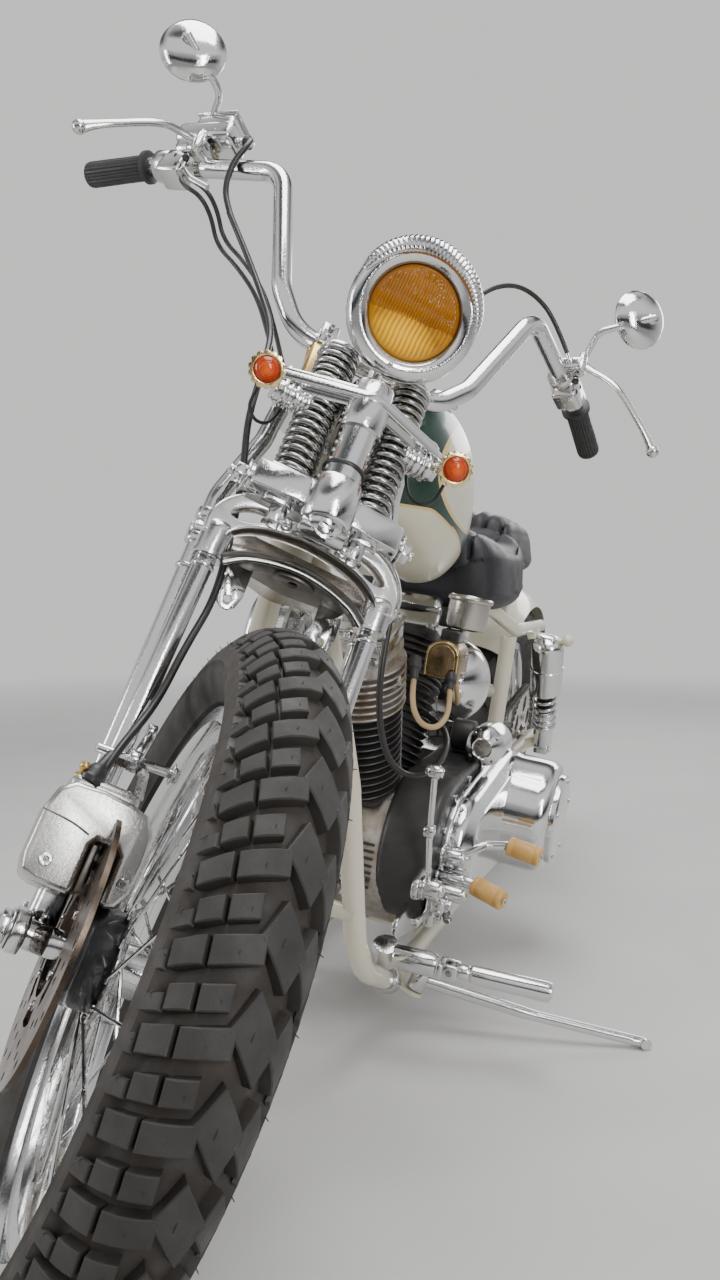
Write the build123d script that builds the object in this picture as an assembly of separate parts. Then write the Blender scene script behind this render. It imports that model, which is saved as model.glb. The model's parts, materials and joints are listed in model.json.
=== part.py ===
"""Custom V-twin chopper with a leading-link spring fork, leaning on its side stand.

Millimetres. The front is -Y, the rider's left is +X and up is +Z.
The rolling chassis is drawn upright, with the ground at Z = 0 and the middle of the wheelbase
at Y = 0. The front end is drawn in its own frame: its origin is on the steering axis, level with
the axle, +Z runs up the steering axis and -Y runs forward. The last section turns the front end
to its left stop, leans the machine on its stand and centres its box on the origin.
"""

from build123d import *
from math import atan, cos, degrees, hypot, radians, sin, sqrt, tan
import os

os.makedirs("parts", exist_ok=True)

# Stance
WHEELBASE = 1620.0
RAKE = 31.5
AXLE_LEAD = 85.0
STEER_STOP = 36.0
LEAN = 9.0

# Wheels and tyres
FRONT_TYRE_R = 344.0
FRONT_TYRE_W = 108.0
FRONT_TREAD_HALF = 46.0
FRONT_TREAD_DROP = 29.0
FRONT_BEAD_R = 241.0
FRONT_RIM_HALF = 33.0
REAR_TYRE_R = 318.0
REAR_TYRE_W = 132.0
REAR_TREAD_HALF = 54.0
REAR_TREAD_DROP = 16.0
REAR_BEAD_R = 203.0
REAR_RIM_HALF = 44.0
RIM_WALL = 4.0
RIM_LIP = 13.0
RIM_WELL = 18.0
SPOKES_PER_SIDE = 20
SPOKE_R = 2.0
SPOKE_CROSS = 40.5
RUNNING_GAP = 0.05
AXLE_R = 10.0
FRONT_HUB_R = 24.0
FRONT_FLANGE_R = 55.0
FRONT_FLANGE_X = 34.0
FRONT_HUB_HALF = 62.0
REAR_HUB_R = 32.0
REAR_FLANGE_R = 60.0
REAR_FLANGE_X = 40.0
REAR_HUB_HALF = 70.0
FLANGE_T = 6.0
FRONT_DISC_R = 125.0
FRONT_DISC_X = -80.0
REAR_DISC_R = 127.0
REAR_DISC_X = -82.0
DISC_T = 5.0
SPROCKET_R = 118.0
SPROCKET_X = 86.0
SPROCKET_T = 6.0
DRIVE_SPROCKET_R = 48.0

# Spring fork, in the fork frame
LEG_X = 101.0
REAR_LEG_R = 11.0
FRONT_LEG_R = 11.0
REAR_LEG_Y = -38.0
REAR_PIVOT_Y = -10.0
FRONT_PIVOT_Y = -57.0
PIVOT_Z = 7.0
EYE_R = 14.0
PIVOT_PIN_R = 7.0
FRONT_LEG_TOP_Y = -92.0
COLLAR_Z = 430.0
CROWN_Z = 452.0
CROWN_T = 28.0
BRIDGE_Z = 506.0
BRIDGE_T = 32.0
BRIDGE_HALF = 80.0
BRACKET_Z = 637.0
BRACKET_T = 18.0
STEM_R = 12.5
NECK_R = 27.0
NECK_LOW = 478.0
NECK_TOP = 620.0
SPRING_X = 47.0
SPRING_Y = -100.0
SPRING_R = 24.5
SPRING_WIRE = 6.5
SPRING_ROD_R = 6.0
UPPER_SPRING_L = 48.0
DAMPER_Y = -127.0
DAMPER_R = 18.0
DAMPER_TOP = 652.0
DAMPER_LOW = 458.0
ROCKER_T = 13.0
ROCKER_GAP = 1.0

# Handlebar and lamps, in the fork frame
BAR_R = 12.7
BAR_Y = -25.0
BAR_Z = 757.0
RISER_X = 62.0
LAMP_AT = (0.0, -183.0, 735.0)
LAMP_R = 75.0
LENS_R = 52.0
LAMP_DEPTH = 90.0
SIGNAL_AT = (119.0, -128.0, 617.0)
SIGNAL_R = 17.0
MIRROR_AT = (361.0, 5.0, 1095.0)
MIRROR_R = 44.0
GRIP_R = 18.0

# Chassis
TUBE_R = 15.0
RAIL_X = 125.0
RAIL_Z = 118.0
ENGINE_Y = -60.0
CRANK_Z = 270.0
VEE_HALF = 22.5
BORE_R = 48.0
FIN_R = 68.0
PRIMARY_X = 118.0
POST_X = 118.0
SWING_Y = 335.0
SWING_Z = 300.0
SWING_PIN_R = 9.0
SHOCK_TOP = (141.0, 598.0, 571.0)
SHOCK_LOW = (155.0, 722.0, 330.0)

# Side stand, its foot on the floor of the finished stance
STAND_PIVOT = (162.0, -165.0, 114.0)
STAND_AXIS = (0.25, 0.15, 0.96)
STAND_REACH = (497.0, -100.0)
STAND_LEG_R = 9.0
STAND_HUB_R = 14.0
STAND_PIN_R = 7.0


def rod(start, end, radius, wall=0.0):
    """A straight round bar, or a tube when it has a wall."""
    run = Vector(*end) - Vector(*start)
    section = Circle(radius) - Circle(radius - wall) if wall else Circle(radius)
    return extrude(Plane(origin=start, z_dir=run) * section, run.length)


def pipe(points, radii, radius):
    """A round bar along straight runs joined by arcs."""
    path = FilletPolyline(*points, radius=radii)
    return sweep(Plane(origin=path @ 0, z_dir=path % 0) * Circle(radius), path=path)


def cord(points, radius):
    """A cable or hose through hand-placed points, with every arc as large as its two runs allow."""
    spots = [Vector(*point) for point in points]
    radii = []
    for before, corner, after in zip(spots, spots[1:], spots[2:]):
        run_in, run_out = corner - before, after - corner
        turn = radians(run_in.get_angle(run_out))
        radii.append(0.45 * min(run_in.length, run_out.length) / tan(turn / 2))
    print("cord radii", [round(r) for r in radii])
    return pipe(points, radii, radius)


def both(piece):
    """A piece and its mirror image on the other side."""
    return piece + mirror(piece, about=Plane.YZ)


def across(low_x, high_x, y, z, radius):
    """A cylinder along X."""
    return rod((low_x, y, z), (high_x, y, z), radius)


def plate(circles, low, high):
    """A flat plate, the hull of circles (x, y, radius), between two heights."""
    outline = make_hull([edge for x, y, r in circles for edge in (Pos(x, y) * Circle(r)).edges()])
    return extrude(Pos(0, 0, low) * outline, high - low)


def side_plate(circles, low_x, high_x):
    """A plate that stands along the machine, the hull of circles (y, z, radius)."""
    outline = make_hull([edge for y, z, r in circles for edge in (Pos(y, z) * Circle(r)).edges()])
    return extrude(Plane.YZ.offset(low_x) * outline, high_x - low_x)


# Wheels, drawn round the X axis


def tyre(radius, width, tread_half, drop, bead_r, rim_half):
    seat = rim_half - RIM_WALL
    shoulder = radius - drop
    middle = (bead_r + RIM_LIP + shoulder) / 2
    foot = bead_r + RIM_LIP + 1
    crown = ThreePointArc((-tread_half, shoulder), (0, radius), (tread_half, shoulder))
    left = ThreePointArc((tread_half, shoulder), (width / 2, middle), (seat, foot))
    base = Polyline((seat, foot), (seat, bead_r), (-seat, bead_r), (-seat, foot))
    right = ThreePointArc((-seat, foot), (-width / 2, middle), (-tread_half, shoulder))
    return revolve(make_face([*crown.edges(), *left.edges(), *base.edges(), *right.edges()]), Axis.X)


def rim(bead_r, half):
    well = half * 0.45
    outer = [
        (half, bead_r + RIM_LIP),
        (half - RIM_WALL, bead_r + RIM_LIP),
        (half - RIM_WALL, bead_r),
        (well + 6, bead_r - 2),
        (well, bead_r - RIM_WELL),
    ]
    inner = [
        (well + 2, bead_r - RIM_WELL - RIM_WALL),
        (well + 9, bead_r - 2 - RIM_WALL),
        (half, bead_r - RIM_WALL),
    ]
    left = outer + [(-x, r) for x, r in reversed(outer)]
    loop = left + [(-x, r) for x, r in reversed(inner)] + inner
    return revolve(make_face(Polyline(*loop, close=True)), Axis.X)


def spokes(flange_r, flange_x, rim_r):
    """Crossed spokes: every second one leans the other way."""
    pieces = []
    for side in (-1, 1):
        for index in range(SPOKES_PER_SIDE):
            lean = side * (1 if index % 2 else -1)
            start = radians(360 / SPOKES_PER_SIDE * index)
            end = start + radians(lean * SPOKE_CROSS)
            hub_end = (side * flange_x, flange_r * cos(start), flange_r * sin(start))
            rim_end = (side * 5, rim_r * cos(end), rim_r * sin(end))
            pieces.append(rod(hub_end, rim_end, SPOKE_R))
    return pieces


def spoked_wheel(bead_r, rim_half, hub_r, flange_r, flange_x, hub_half):
    hub = across(-hub_half, hub_half, 0, 0, hub_r - 6)
    hub += across(-flange_x, flange_x, 0, 0, hub_r)
    for side in (-1, 1):
        hub += across(side * flange_x - FLANGE_T / 2, side * flange_x + FLANGE_T / 2, 0, 0, flange_r)
    wire = spokes(flange_r - 6, flange_x, bead_r - RIM_WELL - 1)
    wheel = rim(bead_r, rim_half) + hub + wire
    return wheel - across(-hub_half - 1, hub_half + 1, 0, 0, AXLE_R + RUNNING_GAP)


def brake_disc(radius, at_x, bore):
    disc = across(at_x - DISC_T / 2, at_x + DISC_T / 2, 0, 0, radius)
    return disc - across(at_x - DISC_T, at_x + DISC_T, 0, 0, bore)


def carrier(radius, at_x, hub_x):
    """The dished centre between a disc and its hub flange."""
    side = -1 if at_x < 0 else 1
    inner = hub_x + side * FLANGE_T / 2
    low, high = sorted((inner, at_x))
    bell = across(low, high, 0, 0, radius)
    face_low, face_high = sorted((at_x - side * DISC_T / 2, at_x - side * (DISC_T / 2 + 6)))
    bell += across(face_low, face_high, 0, 0, radius + 14)
    return bell - across(low - 30, high + 30, 0, 0, FRONT_HUB_R - 6 + 0.01)


front_tyre = tyre(
    FRONT_TYRE_R, FRONT_TYRE_W, FRONT_TREAD_HALF, FRONT_TREAD_DROP, FRONT_BEAD_R, FRONT_RIM_HALF
)
rear_tyre = tyre(
    REAR_TYRE_R, REAR_TYRE_W, REAR_TREAD_HALF, REAR_TREAD_DROP, REAR_BEAD_R, REAR_RIM_HALF
)
front_wheel = spoked_wheel(
    FRONT_BEAD_R, FRONT_RIM_HALF, FRONT_HUB_R, FRONT_FLANGE_R, FRONT_FLANGE_X, FRONT_HUB_HALF
)
rear_wheel = spoked_wheel(
    REAR_BEAD_R, REAR_RIM_HALF, REAR_HUB_R, REAR_FLANGE_R, REAR_FLANGE_X, REAR_HUB_HALF
)
CARRIER_R = 46.0
front_disc = brake_disc(FRONT_DISC_R, FRONT_DISC_X, CARRIER_R)
front_carrier = carrier(CARRIER_R, FRONT_DISC_X, -FRONT_FLANGE_X)
rear_disc = brake_disc(REAR_DISC_R, REAR_DISC_X, REAR_HUB_R - 6)
sprocket = across(SPROCKET_X - SPROCKET_T / 2, SPROCKET_X + SPROCKET_T / 2, 0, 0, SPROCKET_R)
sprocket -= across(SPROCKET_X - 9, SPROCKET_X + 9, 0, 0, REAR_HUB_R - 6)


# Spring fork, in the fork frame


def eye(side, y):
    """A pivot eye at the foot of a leg, bored for its pin."""
    low, high = sorted((side * (LEG_X - REAR_LEG_R), side * (LEG_X + REAR_LEG_R)))
    return across(low, high, y, PIVOT_Z, EYE_R)


def pivot_bore(y):
    return across(-LEG_X - 30, LEG_X + 30, y, PIVOT_Z, PIVOT_PIN_R + RUNNING_GAP)


rear_leg = pipe(
    [
        (80, REAR_LEG_Y, BRACKET_Z),
        (84, REAR_LEG_Y, 590),
        (107, REAR_LEG_Y, 500),
        (LEG_X, REAR_PIVOT_Y, PIVOT_Z),
    ],
    [40, 60],
    REAR_LEG_R,
)
crown = plate([(0, 0, 28), (92, REAR_LEG_Y, 20)], CROWN_Z - CROWN_T / 2, CROWN_Z + CROWN_T / 2)
crown += across(92, LEG_X + 14, REAR_LEG_Y + 3, CROWN_Z, CROWN_T / 2)
rigid_fork = both(rear_leg + eye(1, REAR_PIVOT_Y) + crown)
rigid_fork += rod((0, 0, CROWN_Z), (0, 0, BRACKET_Z + BRACKET_T / 2 + 6), STEM_R)
rigid_fork -= pivot_bore(REAR_PIVOT_Y)

front_leg = rod((LEG_X, FRONT_PIVOT_Y, PIVOT_Z), (LEG_X - 5, FRONT_LEG_TOP_Y, COLLAR_Z), FRONT_LEG_R)
collar = rod(
    (LEG_X - 4.7, FRONT_LEG_TOP_Y + 2, COLLAR_Z - 22), (LEG_X - 5, FRONT_LEG_TOP_Y, COLLAR_Z + 6), FRONT_LEG_R + 3
)

ARCH_TOP = BRIDGE_Z - BRIDGE_T / 2
ARCH_T = 24.0
ARCH_Y = FRONT_LEG_TOP_Y - 4


def arch_plate():
    """The slotted arch that joins both front legs to the bridge above."""
    outer = Polyline(
        (-112, COLLAR_Z), (-110, 468), (-84, ARCH_TOP + 4), (84, ARCH_TOP + 4), (110, 468), (112, COLLAR_Z)
    )
    inner = Polyline((112, COLLAR_Z), (90, COLLAR_Z), (72, 446), (0, 458), (-72, 446), (-90, COLLAR_Z), (-112, COLLAR_Z))
    face = make_face([*outer.edges(), *inner.edges()])
    slot = Pos(64, 470) * Rot(0, 0, -8) * SlotOverall(38, 13)
    face = face - slot - mirror(slot, about=Plane.YZ)
    return extrude(Plane.XZ.offset(-ARCH_Y - ARCH_T / 2) * face, ARCH_T)


bridge = Pos(0, SPRING_Y - 2, BRIDGE_Z) * Box(2 * BRIDGE_HALF, 46, BRIDGE_T)
bridge = fillet(bridge.edges().filter_by(Axis.Z), 12)
bridge += both(across(BRIDGE_HALF - 4, BRIDGE_HALF + 14, SPRING_Y, BRIDGE_Z - 2, 14))
spring_fork = both(front_leg + collar + eye(1, FRONT_PIVOT_Y)) + arch_plate() + bridge
spring_fork -= pivot_bore(FRONT_PIVOT_Y)
damper_bore = rod((0, DAMPER_Y, DAMPER_LOW - 40), (0, DAMPER_Y, DAMPER_TOP + 40), DAMPER_R)
spring_fork -= damper_bore
spring_fork -= both(rod((SPRING_X, SPRING_Y, BRIDGE_Z), (SPRING_X, SPRING_Y, BRIDGE_Z + BRIDGE_T), SPRING_ROD_R))

bracket_low = BRACKET_Z - BRACKET_T / 2
bracket_high = BRACKET_Z + BRACKET_T / 2
top_bracket = plate([(0, 0, 30), (80, REAR_LEG_Y, 16), (-80, REAR_LEG_Y, 16)], bracket_low, bracket_high)
top_bracket += plate(
    [(92, SPRING_Y, 14), (-92, SPRING_Y, 14), (0, DAMPER_Y, DAMPER_R + 8), (70, REAR_LEG_Y, 16), (-70, REAR_LEG_Y, 16)],
    bracket_low,
    bracket_high,
)
top_bracket += both(rod((92, SPRING_Y, bracket_low - 10), (92, SPRING_Y, bracket_high), 14))
top_bracket -= rod((0, 0, bracket_low - 1), (0, 0, bracket_high + 1), STEM_R)
top_bracket -= damper_bore
top_bracket -= both(rear_leg)
top_bracket -= both(rod((SPRING_X, SPRING_Y, bracket_low - 1), (SPRING_X, SPRING_Y, bracket_high + 1), SPRING_ROD_R))
stem_nut = rod((0, 0, bracket_high), (0, 0, bracket_high + 18), 20)
stem_nut -= rod((0, 0, bracket_high), (0, 0, bracket_high + 6), STEM_R)
top_bracket += stem_nut


def coil(low, high, turns):
    """A spring between two heights, on the rod at SPRING_X, SPRING_Y."""
    return rod((SPRING_X, SPRING_Y, low), (SPRING_X, SPRING_Y, high), SPRING_R, SPRING_WIRE)


upper_spring_top = bracket_high + UPPER_SPRING_L
spring_rod = rod((SPRING_X, SPRING_Y, BRIDGE_Z), (SPRING_X, SPRING_Y, upper_spring_top + 6), SPRING_ROD_R)
spring_cap = rod((SPRING_X, SPRING_Y, upper_spring_top), (SPRING_X, SPRING_Y, upper_spring_top + 6), SPRING_R)
fork_springs = spring_rod + spring_cap
fork_springs += coil(BRIDGE_Z + BRIDGE_T / 2, bracket_low, 7) + coil(bracket_high, upper_spring_top, 5)
fork_springs = both(fork_springs)

damper = rod((0, DAMPER_Y, DAMPER_LOW), (0, DAMPER_Y, 545), DAMPER_R - 2)
damper += rod((0, DAMPER_Y, 545), (0, DAMPER_Y, DAMPER_TOP), DAMPER_R)
damper += rod((0, DAMPER_Y, DAMPER_TOP), (0, DAMPER_Y, DAMPER_TOP + 8), DAMPER_R - 6)

rocker_in = LEG_X + REAR_LEG_R + ROCKER_GAP
rocker_out = rocker_in + ROCKER_T
rocker = side_plate(
    [(REAR_PIVOT_Y, PIVOT_Z, 16), (FRONT_PIVOT_Y, PIVOT_Z, 16), (-AXLE_LEAD, 0, 20)], rocker_in, rocker_out
)
rocker += across(LEG_X - REAR_LEG_R, rocker_in, REAR_PIVOT_Y, PIVOT_Z, PIVOT_PIN_R)
rocker += across(LEG_X - REAR_LEG_R, rocker_in, FRONT_PIVOT_Y, PIVOT_Z, PIVOT_PIN_R)
rocker += across(rocker_out, rocker_out + 8, REAR_PIVOT_Y, PIVOT_Z, 12)
rocker += across(rocker_out, rocker_out + 8, FRONT_PIVOT_Y, PIVOT_Z, 12)
rocker -= across(rocker_in - 1, rocker_out + 1, -AXLE_LEAD, 0, AXLE_R + RUNNING_GAP)
rockers = both(rocker)

front_axle = across(-rocker_out - 12, rocker_out + 12, -AXLE_LEAD, 0, AXLE_R)
front_axle += both(across(rocker_out, rocker_out + 12, -AXLE_LEAD, 0, 16.5))
front_axle += both(across(FRONT_HUB_HALF + 5, rocker_in, -AXLE_LEAD, 0, 13.5))

FENDER_ARM_T = 4.0
FENDER_TAB_Y = -56.0
FENDER_HOLE_R = 4.2
FENDER_HOLE_X = 56.0
FENDER_HOLE_Z = 384.0
fender_bracket = plate(
    [(0, -70, 34), (56, -62, 14), (-56, -62, 14)], CROWN_Z - CROWN_T / 2 - 14, CROWN_Z - CROWN_T / 2 - 14 + FENDER_ARM_T
)
fender_bracket += rod((0, -60, CROWN_Z - CROWN_T / 2 - 14), (0, -60, CROWN_Z - CROWN_T / 2), 16)
fender_bracket += both(Pos(FENDER_HOLE_X, FENDER_TAB_Y, 398) * Box(30, FENDER_ARM_T, 56))
fender_hole = rod((FENDER_HOLE_X, -70, FENDER_HOLE_Z), (FENDER_HOLE_X, -40, FENDER_HOLE_Z), FENDER_HOLE_R)
fender_bracket -= both(fender_hole)

# Handlebar, controls and lamps, in the fork frame

bar_half = [
    (98, BAR_Y, BAR_Z),
    (135, BAR_Y, 805),
    (192, -25, 968),
    (350, 120, 1000),
    (430, 195, 995),
]
bar_points = [(-x, y, z) for x, y, z in reversed(bar_half)] + bar_half
handlebar = pipe(bar_points, [60, 45, 60, 50, 50, 60, 45, 60], BAR_R)
bar_tool = pipe(bar_points, [60, 45, 60, 50, 50, 60, 45, 60], BAR_R + 0.02)

riser = rod((RISER_X, BAR_Y, bracket_high), (RISER_X, BAR_Y, BAR_Z), 13)
riser += across(RISER_X - 12, RISER_X + 12, BAR_Y, BAR_Z, BAR_R + 8)
risers = both(riser - across(RISER_X - 13, RISER_X + 13, BAR_Y, BAR_Z, BAR_R + 0.02))

GRIP_START = 0.14
grip_out = Vector(*bar_half[-1])
grip_way = (grip_out - Vector(*bar_half[-2])).normalized()
GRIP_L = 106.0


def along_bar(distance):
    """A point on the bar, measured inwards from its left end."""
    return grip_out - grip_way * distance


def on_bar(near, far, radius):
    """A cylinder round the straight end of the bar."""
    return rod(along_bar(near), along_bar(far), radius)


grip = on_bar(-4, GRIP_L - 10, GRIP_R) + on_bar(GRIP_L - 10, GRIP_L - 4, GRIP_R + 4)
grips = both(grip) - bar_tool

control_way = (Vector(*bar_half[-2]) - Vector(*bar_half[-3])).normalized()
bar_knee = Vector(*bar_half[-2])


def at_control(distance):
    """A point on the bar's run inside the grip, measured inwards from the knee."""
    return bar_knee - control_way * distance


def control_clamp(near, far, radius):
    return rod(at_control(near), at_control(far), radius)


switch_box = control_clamp(12, 58, 22)
lever_mount = control_clamp(60, 82, 20)
perch_at = at_control(71) + Vector(0, -24, 8)
lever_mount += Pos(*perch_at) * Box(34, 34, 20)
hand_controls = both(switch_box + lever_mount)
cylinder_plane = Plane(origin=at_control(76) + Vector(0, -10, 44), x_dir=control_way, z_dir=(0, -0.1, 1))
reservoir = cylinder_plane.location * Box(92, 50, 38)
reservoir = fillet(reservoir.edges().filter_by(Plane.XY, reverse=True), 8)
reservoir += rod(at_control(71) + Vector(0, -6, 16), at_control(71) + Vector(0, -8, 36), 14)
hand_controls += mirror(reservoir, about=Plane.YZ)
hand_controls -= bar_tool

LEVER_R = 5.0
lever_path = [
    (perch_at + Vector(4, -12, 8)),
    (340, -40, 985),
    (395, -30, 945),
    (432, -2, 888),
]
lever = pipe(lever_path, [40, 60], LEVER_R) + Pos(*lever_path[-1]) * Sphere(LEVER_R + 4)
levers = both(lever) - hand_controls

mirror_plane = Plane(origin=MIRROR_AT, z_dir=(-0.15, 0.98, 0.2))
mirror_bowl = mirror_plane.location * (
    Pos(0, 0, -8) * Cylinder(MIRROR_R, 16) - Pos(0, 0, 1) * Cylinder(MIRROR_R - 3, 3)
)
mirror_top = (MIRROR_AT[0] - 12, -6, MIRROR_AT[2] - 8)


def mirror_stem(foot, bend):
    return pipe([foot, bend, mirror_top], [22], 5)


left_mirror = mirror_bowl + mirror_stem(at_control(40) + Vector(4, 0, 18), (312, 20, 1052))
right_mirror = mirror_bowl + mirror_stem(at_control(60) + Vector(0, -12, 60), (308, 12, 1072))
mirrors = (left_mirror + mirror(right_mirror, about=Plane.YZ)) - hand_controls

# The lamp is drawn pointing along -Y from its lens rim, then placed level
lamp_place = Location(LAMP_AT, (RAKE, 0, 0))
SHELL_WALL = 3.0


def lamp_profile(radius, depth, front):
    """Half of the shell's outline, from its rim back to its pole."""
    rim_line = Line((0, front), (radius, front))
    side = Spline((radius, front), (radius * 0.8, front + depth * 0.4), (radius * 0.42, front + depth * 0.85), (0, front + depth))
    close = Line((0, front + depth), (0, front))
    return make_face([rim_line.edge(), side.edge(), close.edge()])


shell = revolve(lamp_profile(LAMP_R, LAMP_DEPTH, 0), Axis.Y)
shell -= revolve(lamp_profile(LAMP_R - SHELL_WALL, LAMP_DEPTH - SHELL_WALL * 2, -1), Axis.Y)
bezel = rod((0, -8, 0), (0, 6, 0), LAMP_R - SHELL_WALL, LAMP_R - SHELL_WALL - LENS_R)
shell += rod((0, -10, 0), (0, 2, 0), LAMP_R + 1, LAMP_R - LENS_R + 1)
headlight_shell = lamp_place * shell
lamp_foot = (0, SPRING_Y, bracket_high)
headlight_shell += rod(lamp_foot, (0, SPRING_Y, bracket_high + 70), 8) - lamp_place * revolve(
    lamp_profile(LAMP_R - 1, LAMP_DEPTH - 2, 0), Axis.Y
)
lens = rod((0, -7, 0), (0, -1, 0), LENS_R)
headlight_lens = lamp_place * lens

signal_place = Location(SIGNAL_AT, (RAKE, 0, 0))
signal_body = signal_place * (
    rod((0, 0, 0), (0, 34, 0), SIGNAL_R) + rod((0, -6, 0), (0, 2, 0), SIGNAL_R + 3) - rod((0, -7, 0), (0, -2, 0), SIGNAL_R)
)
signal_stem = rod((92 + 14, SPRING_Y, BRACKET_Z - 8), (SIGNAL_AT[0], SPRING_Y - 4, SIGNAL_AT[2] + 8), 7)
turn_signals = both(signal_body + signal_stem) - top_bracket
signal_lenses = both(signal_place * (rod((0, -9, 0), (0, -2, 0), SIGNAL_R - 0.02)))

# Brake caliper over the disc, clamped to the right front leg
CALIPER_LOW_X = -145.0
CALIPER_HIGH_X = -45.0
caliper = Pos((CALIPER_LOW_X + CALIPER_HIGH_X) / 2, -AXLE_LEAD - 24, 86) * Box(
    CALIPER_HIGH_X - CALIPER_LOW_X, 60, 96
)
caliper = fillet(caliper.edges(), 12)
caliper_clamp = rod((-LEG_X, -63, 70), (-LEG_X, -66, 104), FRONT_LEG_R + 7)
caliper_clamp += Pos(-LEG_X - 6, -76, 88) * Box(30, 22, 30)
brake_caliper = caliper + caliper_clamp - spring_fork - rigid_fork
brake_caliper -= across(FRONT_DISC_X - 9, FRONT_DISC_X + 9, -AXLE_LEAD, 0, FRONT_DISC_R + 6)
brake_caliper -= across(FRONT_DISC_X - 9, 0, -AXLE_LEAD, 0, CARRIER_R + 20)

BRAKE_HOSE_R = 4.0
brake_hose = cord(
    [
        (-112, -128, 136),
        (-104, -116, 176),
        (-86, -92, 235),
        (-80, -84, 305),
        (-70, -70, 370),
        (-78, -71, 440),
        (-92, -66, 520),
        (-112, -64, 590),
        (-118, -58, 660),
        (-124, -30, 740),
        (-172, 6, 830),
        (-232, 18, 905),
    ],
    BRAKE_HOSE_R,
)


# Rolling chassis, drawn upright

steer_base = (0.0, -WHEELBASE / 2 + AXLE_LEAD * cos(radians(RAKE)), FRONT_TYRE_R - AXLE_LEAD * sin(radians(RAKE)))
FORK = Location(steer_base, (-RAKE, 0, 0))
REAR_AXLE = (0.0, WHEELBASE / 2, REAR_TYRE_R)


def on_axis(height):
    """A point of the steering axis, in the upright chassis frame."""
    return (FORK * Pos(0, 0, height)).position


neck = rod(on_axis(NECK_LOW), on_axis(NECK_TOP), NECK_R)
neck_bore = rod(on_axis(NECK_LOW - 5), on_axis(NECK_TOP + 5), STEM_R + RUNNING_GAP)
_, neck_y, neck_z = on_axis(NECK_LOW + 54)
downtube = pipe(
    [
        (14, neck_y, neck_z),
        (86, -396, 440),
        (118, -352, 190),
        (RAIL_X, -205, RAIL_Z),
        (RAIL_X, 270, RAIL_Z),
        (POST_X, SWING_Y, 235),
        (POST_X - 4, SWING_Y + 12, 590),
    ],
    [160, 130, 90, 60, 60],
    TUBE_R,
)
_, top_y, top_z = on_axis(NECK_TOP - 48)
backbone = pipe([(0, top_y, top_z), (0, -150, 800), (0, 120, 690), (0, 300, 650)], [300, 300], TUBE_R + 6)
seat_rail = pipe([(30, 100, 690), (100, 240, 640), (112, 420, 596), (112, 700, 592)], [80, 120], TUBE_R - 2)
seat_rail += rod((112, SHOCK_TOP[1], 594), (SHOCK_TOP[0] - 20, SHOCK_TOP[1], SHOCK_TOP[2]), 14)
frame = neck + backbone + both(downtube + seat_rail)
frame += across(-POST_X, POST_X, SWING_Y + 8, 480, TUBE_R - 2)
frame += across(-RAIL_X, RAIL_X, 20, RAIL_Z, TUBE_R - 3)
frame += across(-112, 112, -372, 270, TUBE_R - 4)
frame += across(-112, 112, 300, 650, TUBE_R)
frame += across(-POST_X, POST_X, SWING_Y, SWING_Z, SWING_PIN_R)
frame -= neck_bore

swing_arm = pipe(
    [(76, SWING_Y, SWING_Z), (82, 430, SWING_Z + 2), (112, 520, SWING_Z + 6), (112, WHEELBASE / 2 + 40, REAR_TYRE_R)],
    [120, 120],
    TUBE_R,
)
swing_arm += rod((112, SHOCK_LOW[1], 314), (SHOCK_LOW[0] - 12, SHOCK_LOW[1], SHOCK_LOW[2]), 11)
swingarm = both(swing_arm) + across(-80, 80, SWING_Y, SWING_Z, 20)
swingarm -= across(-200, 200, REAR_AXLE[1], REAR_AXLE[2], AXLE_R)
swingarm -= across(-POST_X, POST_X, SWING_Y, SWING_Z, SWING_PIN_R + RUNNING_GAP)

rear_axle = across(-140, 140, REAR_AXLE[1], REAR_AXLE[2], AXLE_R)
rear_axle += both(across(127, 140, REAR_AXLE[1], REAR_AXLE[2], 17))

shock_low_out = (SHOCK_LOW[0] + 4, SHOCK_LOW[1], SHOCK_LOW[2])
shock_top_out = (SHOCK_TOP[0] + 10, SHOCK_TOP[1], SHOCK_TOP[2])
shock_run = Vector(*shock_top_out) - Vector(*shock_low_out)


def on_shock(low, high, radius):
    start = Vector(*shock_low_out) + shock_run * low
    end = Vector(*shock_low_out) + shock_run * high
    return rod(start, end, radius)


shock = on_shock(0.02, 0.98, 8) + on_shock(0.08, 0.5, 24) + on_shock(0.44, 0.94, 28)
shock += across(SHOCK_LOW[0] - 12, SHOCK_LOW[0] + 20, SHOCK_LOW[1], SHOCK_LOW[2], 15)
shock += across(SHOCK_TOP[0] - 20, SHOCK_TOP[0] + 26, SHOCK_TOP[1], SHOCK_TOP[2], 15)
rear_shocks = both(shock) - frame - swingarm

# Engine


def cylinder_place(side):
    """Base of one cylinder: -1 is the front one, 1 the rear one."""
    return Location((0, ENGINE_Y, CRANK_Z), (-side * VEE_HALF, 0, 0))


BARREL_LOW = 112.0
BARREL_HIGH = 255.0
HEAD_HIGH = 345.0
ROCKER_HIGH = 415.0
FIN_PITCH = 17.0
FIN_T = 4.0


def finned(low, high, core_r, fin_r, count):
    """A round core with evenly spaced round fins."""
    piece = rod((0, 0, low), (0, 0, high), core_r)
    pitch = (high - low - FIN_T) / (count - 1)
    for index in range(count):
        at = low + pitch * index
        piece += rod((0, 0, at), (0, 0, at + FIN_T), fin_r)
    return piece


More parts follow.
